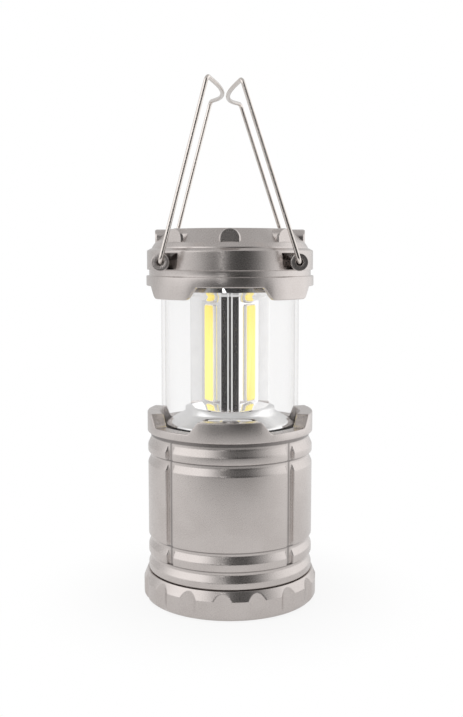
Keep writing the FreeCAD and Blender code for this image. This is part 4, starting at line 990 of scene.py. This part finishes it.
def wire_tree():
    """Geometry Nodes that round the corners of a path and sweep a wire along it."""
    tree = bpy.data.node_groups.new("bent_wire", "GeometryNodeTree")
    sheet = NodeSheet(tree)
    tree.interface.new_socket("Path", in_out="INPUT", socket_type="NodeSocketGeometry")
    tree.interface.new_socket("Wire radius", in_out="INPUT", socket_type="NodeSocketFloat")
    for name in ("Bend steps", "Wire sides"):
        tree.interface.new_socket(name, in_out="INPUT", socket_type="NodeSocketInt")
    tree.interface.new_socket("Finish", in_out="INPUT", socket_type="NodeSocketMaterial")
    tree.interface.new_socket("Wire", in_out="OUTPUT", socket_type="NodeSocketGeometry")
    given = sheet.node("NodeGroupInput")
    path = sheet.node("GeometryNodeMeshToCurve", None, {"Mesh": given["Path"]})["Curve"]
    bend = sheet.node("GeometryNodeInputNamedAttribute", {"data_type": "FLOAT"},
                      {"Name": "bend"})["Attribute"]
    bent = sheet.node("GeometryNodeFilletCurve", {"mode": "POLY"},
                      {"Curve": path, "Count": given["Bend steps"], "Radius": bend})["Curve"]
    ring = sheet.node("GeometryNodeCurvePrimitiveCircle", {"mode": "RADIUS"},
                      {"Resolution": given["Wire sides"], "Radius": given["Wire radius"]})["Curve"]
    swept = sheet.node("GeometryNodeCurveToMesh", None,
                       {"Curve": bent, "Profile Curve": ring, "Fill Caps": True})["Mesh"]
    real = sheet.node("GeometryNodeRealizeInstances", None, {"Geometry": swept})["Geometry"]
    painted = sheet.node("GeometryNodeSetMaterial", None, {"Geometry": real, "Material": given["Finish"]})
    sheet.node("NodeGroupOutput", None, {"Wire": painted["Geometry"]})
    return tree


def bail(name, node, side, lean, tree):
    """Wire handle: pin, leg, bowed grip, leg, pin, leaned in about its pivot."""
    point = -side * BOW_POINT
    stops = [
        ((0, -PIN_END, 0), 0), ((0, -LEG_PLANE, 0), WIRE_BEND), ((0, -LEG_PLANE, LEG_LENGTH), WIRE_BEND),
        ((point, 0, LEG_LENGTH), BOW_RADIUS), ((0, LEG_PLANE, LEG_LENGTH), WIRE_BEND),
        ((0, LEG_PLANE, 0), WIRE_BEND), ((0, PIN_END, 0), 0),
    ]
    pivot = Matrix.Translation(Vector((side * PIVOT_OFFSET, 0, PIVOT_LEVEL)) * MM)
    stand = pivot @ Matrix.Rotation(math.radians(-side * lean), 4, "Y")
    path = bpy.data.meshes.new(name + "_path")
    path.from_pydata([stand @ (Vector(stop) * MM) for stop, bend in stops],
                     [(index, index + 1) for index in range(len(stops) - 1)], [])
    bends = path.attributes.new("bend", "FLOAT", "POINT")
    bends.data.foreach_set("value", [bend * MM for stop, bend in stops])
    mesh = grown(name, path, tree, {
        "Wire radius": WIRE_RADIUS * MM,
        "Bend steps": WIRE_STEPS,
        "Wire sides": WIRE_STEPS,
        "Finish": FINISHES["handle_wire"],
    })
    place_piece(name, mesh, node, "handle_wire", [node])


# Studio

LEFT_WALL = {"rise": (14, 74), "level": 0.92, "fall": (90, 125), "drop": 0.22}
LEFT_KEY = {"rise": (2, 42), "level": 1.45, "fall": (80, 120), "drop": 0.75}
RIGHT_WALL = {"rise": (22, 86), "level": 1.25, "fall": (120, 175), "drop": 0.60}
FRONT_LEVEL = 0.03
CEILING_LEVEL = 0.60
AMBIENT_LEVEL = 0.80
KEY_FOOT = (0.04, 0.14)
CEILING_EDGE = (0.58, 0.82)
FLOOR_REACH = 6.0
FLOOR_DROP = -1e-4
FLOOR_LEVEL = 0.95
FLOOR_FADE = (0.10, 0.62)
SHADOW_SHARE = 0.14
SHADOW_FADE = (0.043, 0.11)


def ray_kinds(sheet):
    """1 for a ray straight from the camera, and 1 for a ray that comes off a mirror."""
    light_path = sheet.node("ShaderNodeLightPath")
    return light_path["Is Camera Ray"], light_path["Is Glossy Ray"]


def wall_level(turn, rise, level, fall, drop):
    """Brightness by the degrees to a wall's side: it rises to a level, then drops toward the back."""
    return turn.ramp(*rise) * level - turn.ramp(*fall) * drop


def horizon(across, deep):
    """Degrees from straight in front, to the right, and how bright the studio stands there."""
    turn = across.maths("ARCTAN2", across, 0 - deep) * (180 / math.pi)
    return turn, FRONT_LEVEL + wall_level(0 - turn, **LEFT_WALL) + wall_level(turn, **RIGHT_WALL)


def studio_floor():
    """Pale sweep: white to the camera but for the shadow, as bright as the walls where it is far off."""
    finish = Finish("studio_floor")
    across, deep, _ = finish.split(finish.place)
    away = (across * across + deep * deep) ** 0.5
    camera, glossy = ray_kinds(finish)
    _, around = horizon(across, deep)
    far = away.ramp(*FLOOR_FADE)
    lit = 1 - SHADOW_SHARE + SHADOW_SHARE * away.ramp(*SHADOW_FADE)
    share = camera * lit + (1 - camera) * glossy * (0.5 + 0.5 * far)
    mirrored = FLOOR_LEVEL + far * (around - FLOOR_LEVEL)
    level = camera + (1 - camera) * mirrored
    cloth = finish.node("ShaderNodeBsdfDiffuse", None, {"Color": (0.86, 0.855, 0.85, 1)})["BSDF"]
    glow = finish.node("ShaderNodeEmission", None, {"Strength": level})["Emission"]
    mixed = finish.node("ShaderNodeMixShader", None, {"Fac": share, 1: cloth, 2: glow})["Shader"]
    finish.node("ShaderNodeOutputMaterial", None, {"Surface": mixed})
    mesh = bpy.data.meshes.new("studio_floor")
    sides = [(-1, -1), (1, -1), (1, 1), (-1, 1)]
    corners = [(x * FLOOR_REACH, y * FLOOR_REACH, FLOOR_DROP) for x, y in sides]
    mesh.from_pydata(corners, [], [(0, 1, 2, 3)])
    mesh.materials.append(finish.material)
    floor = bpy.data.objects.new("studio_floor", mesh)
    bpy.context.scene.collection.objects.link(floor)


def studio_world():
    """White to the camera. Reflections see a dark front, a key on the left, pale walls and ceiling."""
    world = bpy.data.worlds.new("studio")
    bpy.context.scene.world = world
    world.use_nodes = True
    sheet = NodeSheet(world.node_tree)
    camera, glossy = ray_kinds(sheet)
    across, deep, up = sheet.split(sheet.node("ShaderNodeTexCoord")["Generated"])
    turn, around = horizon(across, deep)
    keyed = turn.maths("MAXIMUM", around, wall_level(0 - turn, **LEFT_KEY))
    front = around + up.ramp(*KEY_FOOT) * (keyed - around)
    studio = front + up.ramp(*CEILING_EDGE) * (CEILING_LEVEL - front)
    level = camera + (1 - camera) * (glossy * studio + (1 - glossy) * AMBIENT_LEVEL)
    shine = sheet.node("ShaderNodeBackground", None, {"Color": (1, 1, 1, 1), "Strength": level})
    sheet.node("ShaderNodeOutputWorld", None, {"Surface": shine["Background"]})


def softbox(name, place, aim, size, power, mirrored=False):
    """Area light turned to a point, its width and height in metres, with or without a reflection."""
    lamp = bpy.data.lights.new(name, "AREA")
    lamp.shape = "RECTANGLE"
    lamp.size, lamp.size_y = size
    lamp.energy = power
    holder = bpy.data.objects.new(name, lamp)
    holder.location = place
    holder.visible_glossy = mirrored
    holder.rotation_euler = (Vector(aim) - Vector(place)).to_track_quat("-Z", "Y").to_euler()
    bpy.context.scene.collection.objects.link(holder)


def studio_lamps():
    """Three soft lamps, and a narrow one that draws the upright streak on the cap."""
    middle = (0, 0, 0.11)
    softbox("key_left", (-0.9, -0.55, 0.75), middle, (0.6, 0.8), 1.6)
    softbox("fill_right", (1.0, -0.35, 0.45), middle, (0.6, 0.9), 0.9)
    softbox("top", (0, 0.1, 1.1), middle, (1.6, 1.6), 1.6)
    softbox("streak", (-0.152, -0.85, 0.29), (0, 0, 0.29), (0.05, 0.35), 0.15, mirrored=True)


def photo_camera():
    """Camera in front of the lantern and a little above its middle."""
    lens = bpy.data.cameras.new("photo_camera")
    lens.sensor_width = 36.0
    lens.lens = 49.2
    camera = bpy.data.objects.new("photo_camera", lens)
    camera.location = (0.00075, -0.480, 0.1706)
    camera.rotation_euler = (math.radians(90 - 6.2), 0, 0)
    bpy.context.scene.collection.objects.link(camera)
    bpy.context.scene.camera = camera


def dress_inner_nodes():
    """Pieces that stay as CAD made them take the finish of their slot."""
    for row in frame["record"]["subparts"]:
        node = frame["nodes"][row["node"]]
        for place in node.material_slots:
            place.material = FINISHES[row["material_slot"]]


dress_inner_nodes()
base_housing()
collar_ring()
bottom_cover()
light_core()
top_cap()
handle_wire_tree = wire_tree()
bail("left_bail", "left_handle", -1, LEFT_LEAN, handle_wire_tree)
bail("right_bail", "right_handle", 1, RIGHT_LEAN, handle_wire_tree)
studio_floor()
studio_world()
studio_lamps()
photo_camera()
bpy.context.scene.view_settings.view_transform = "Standard"
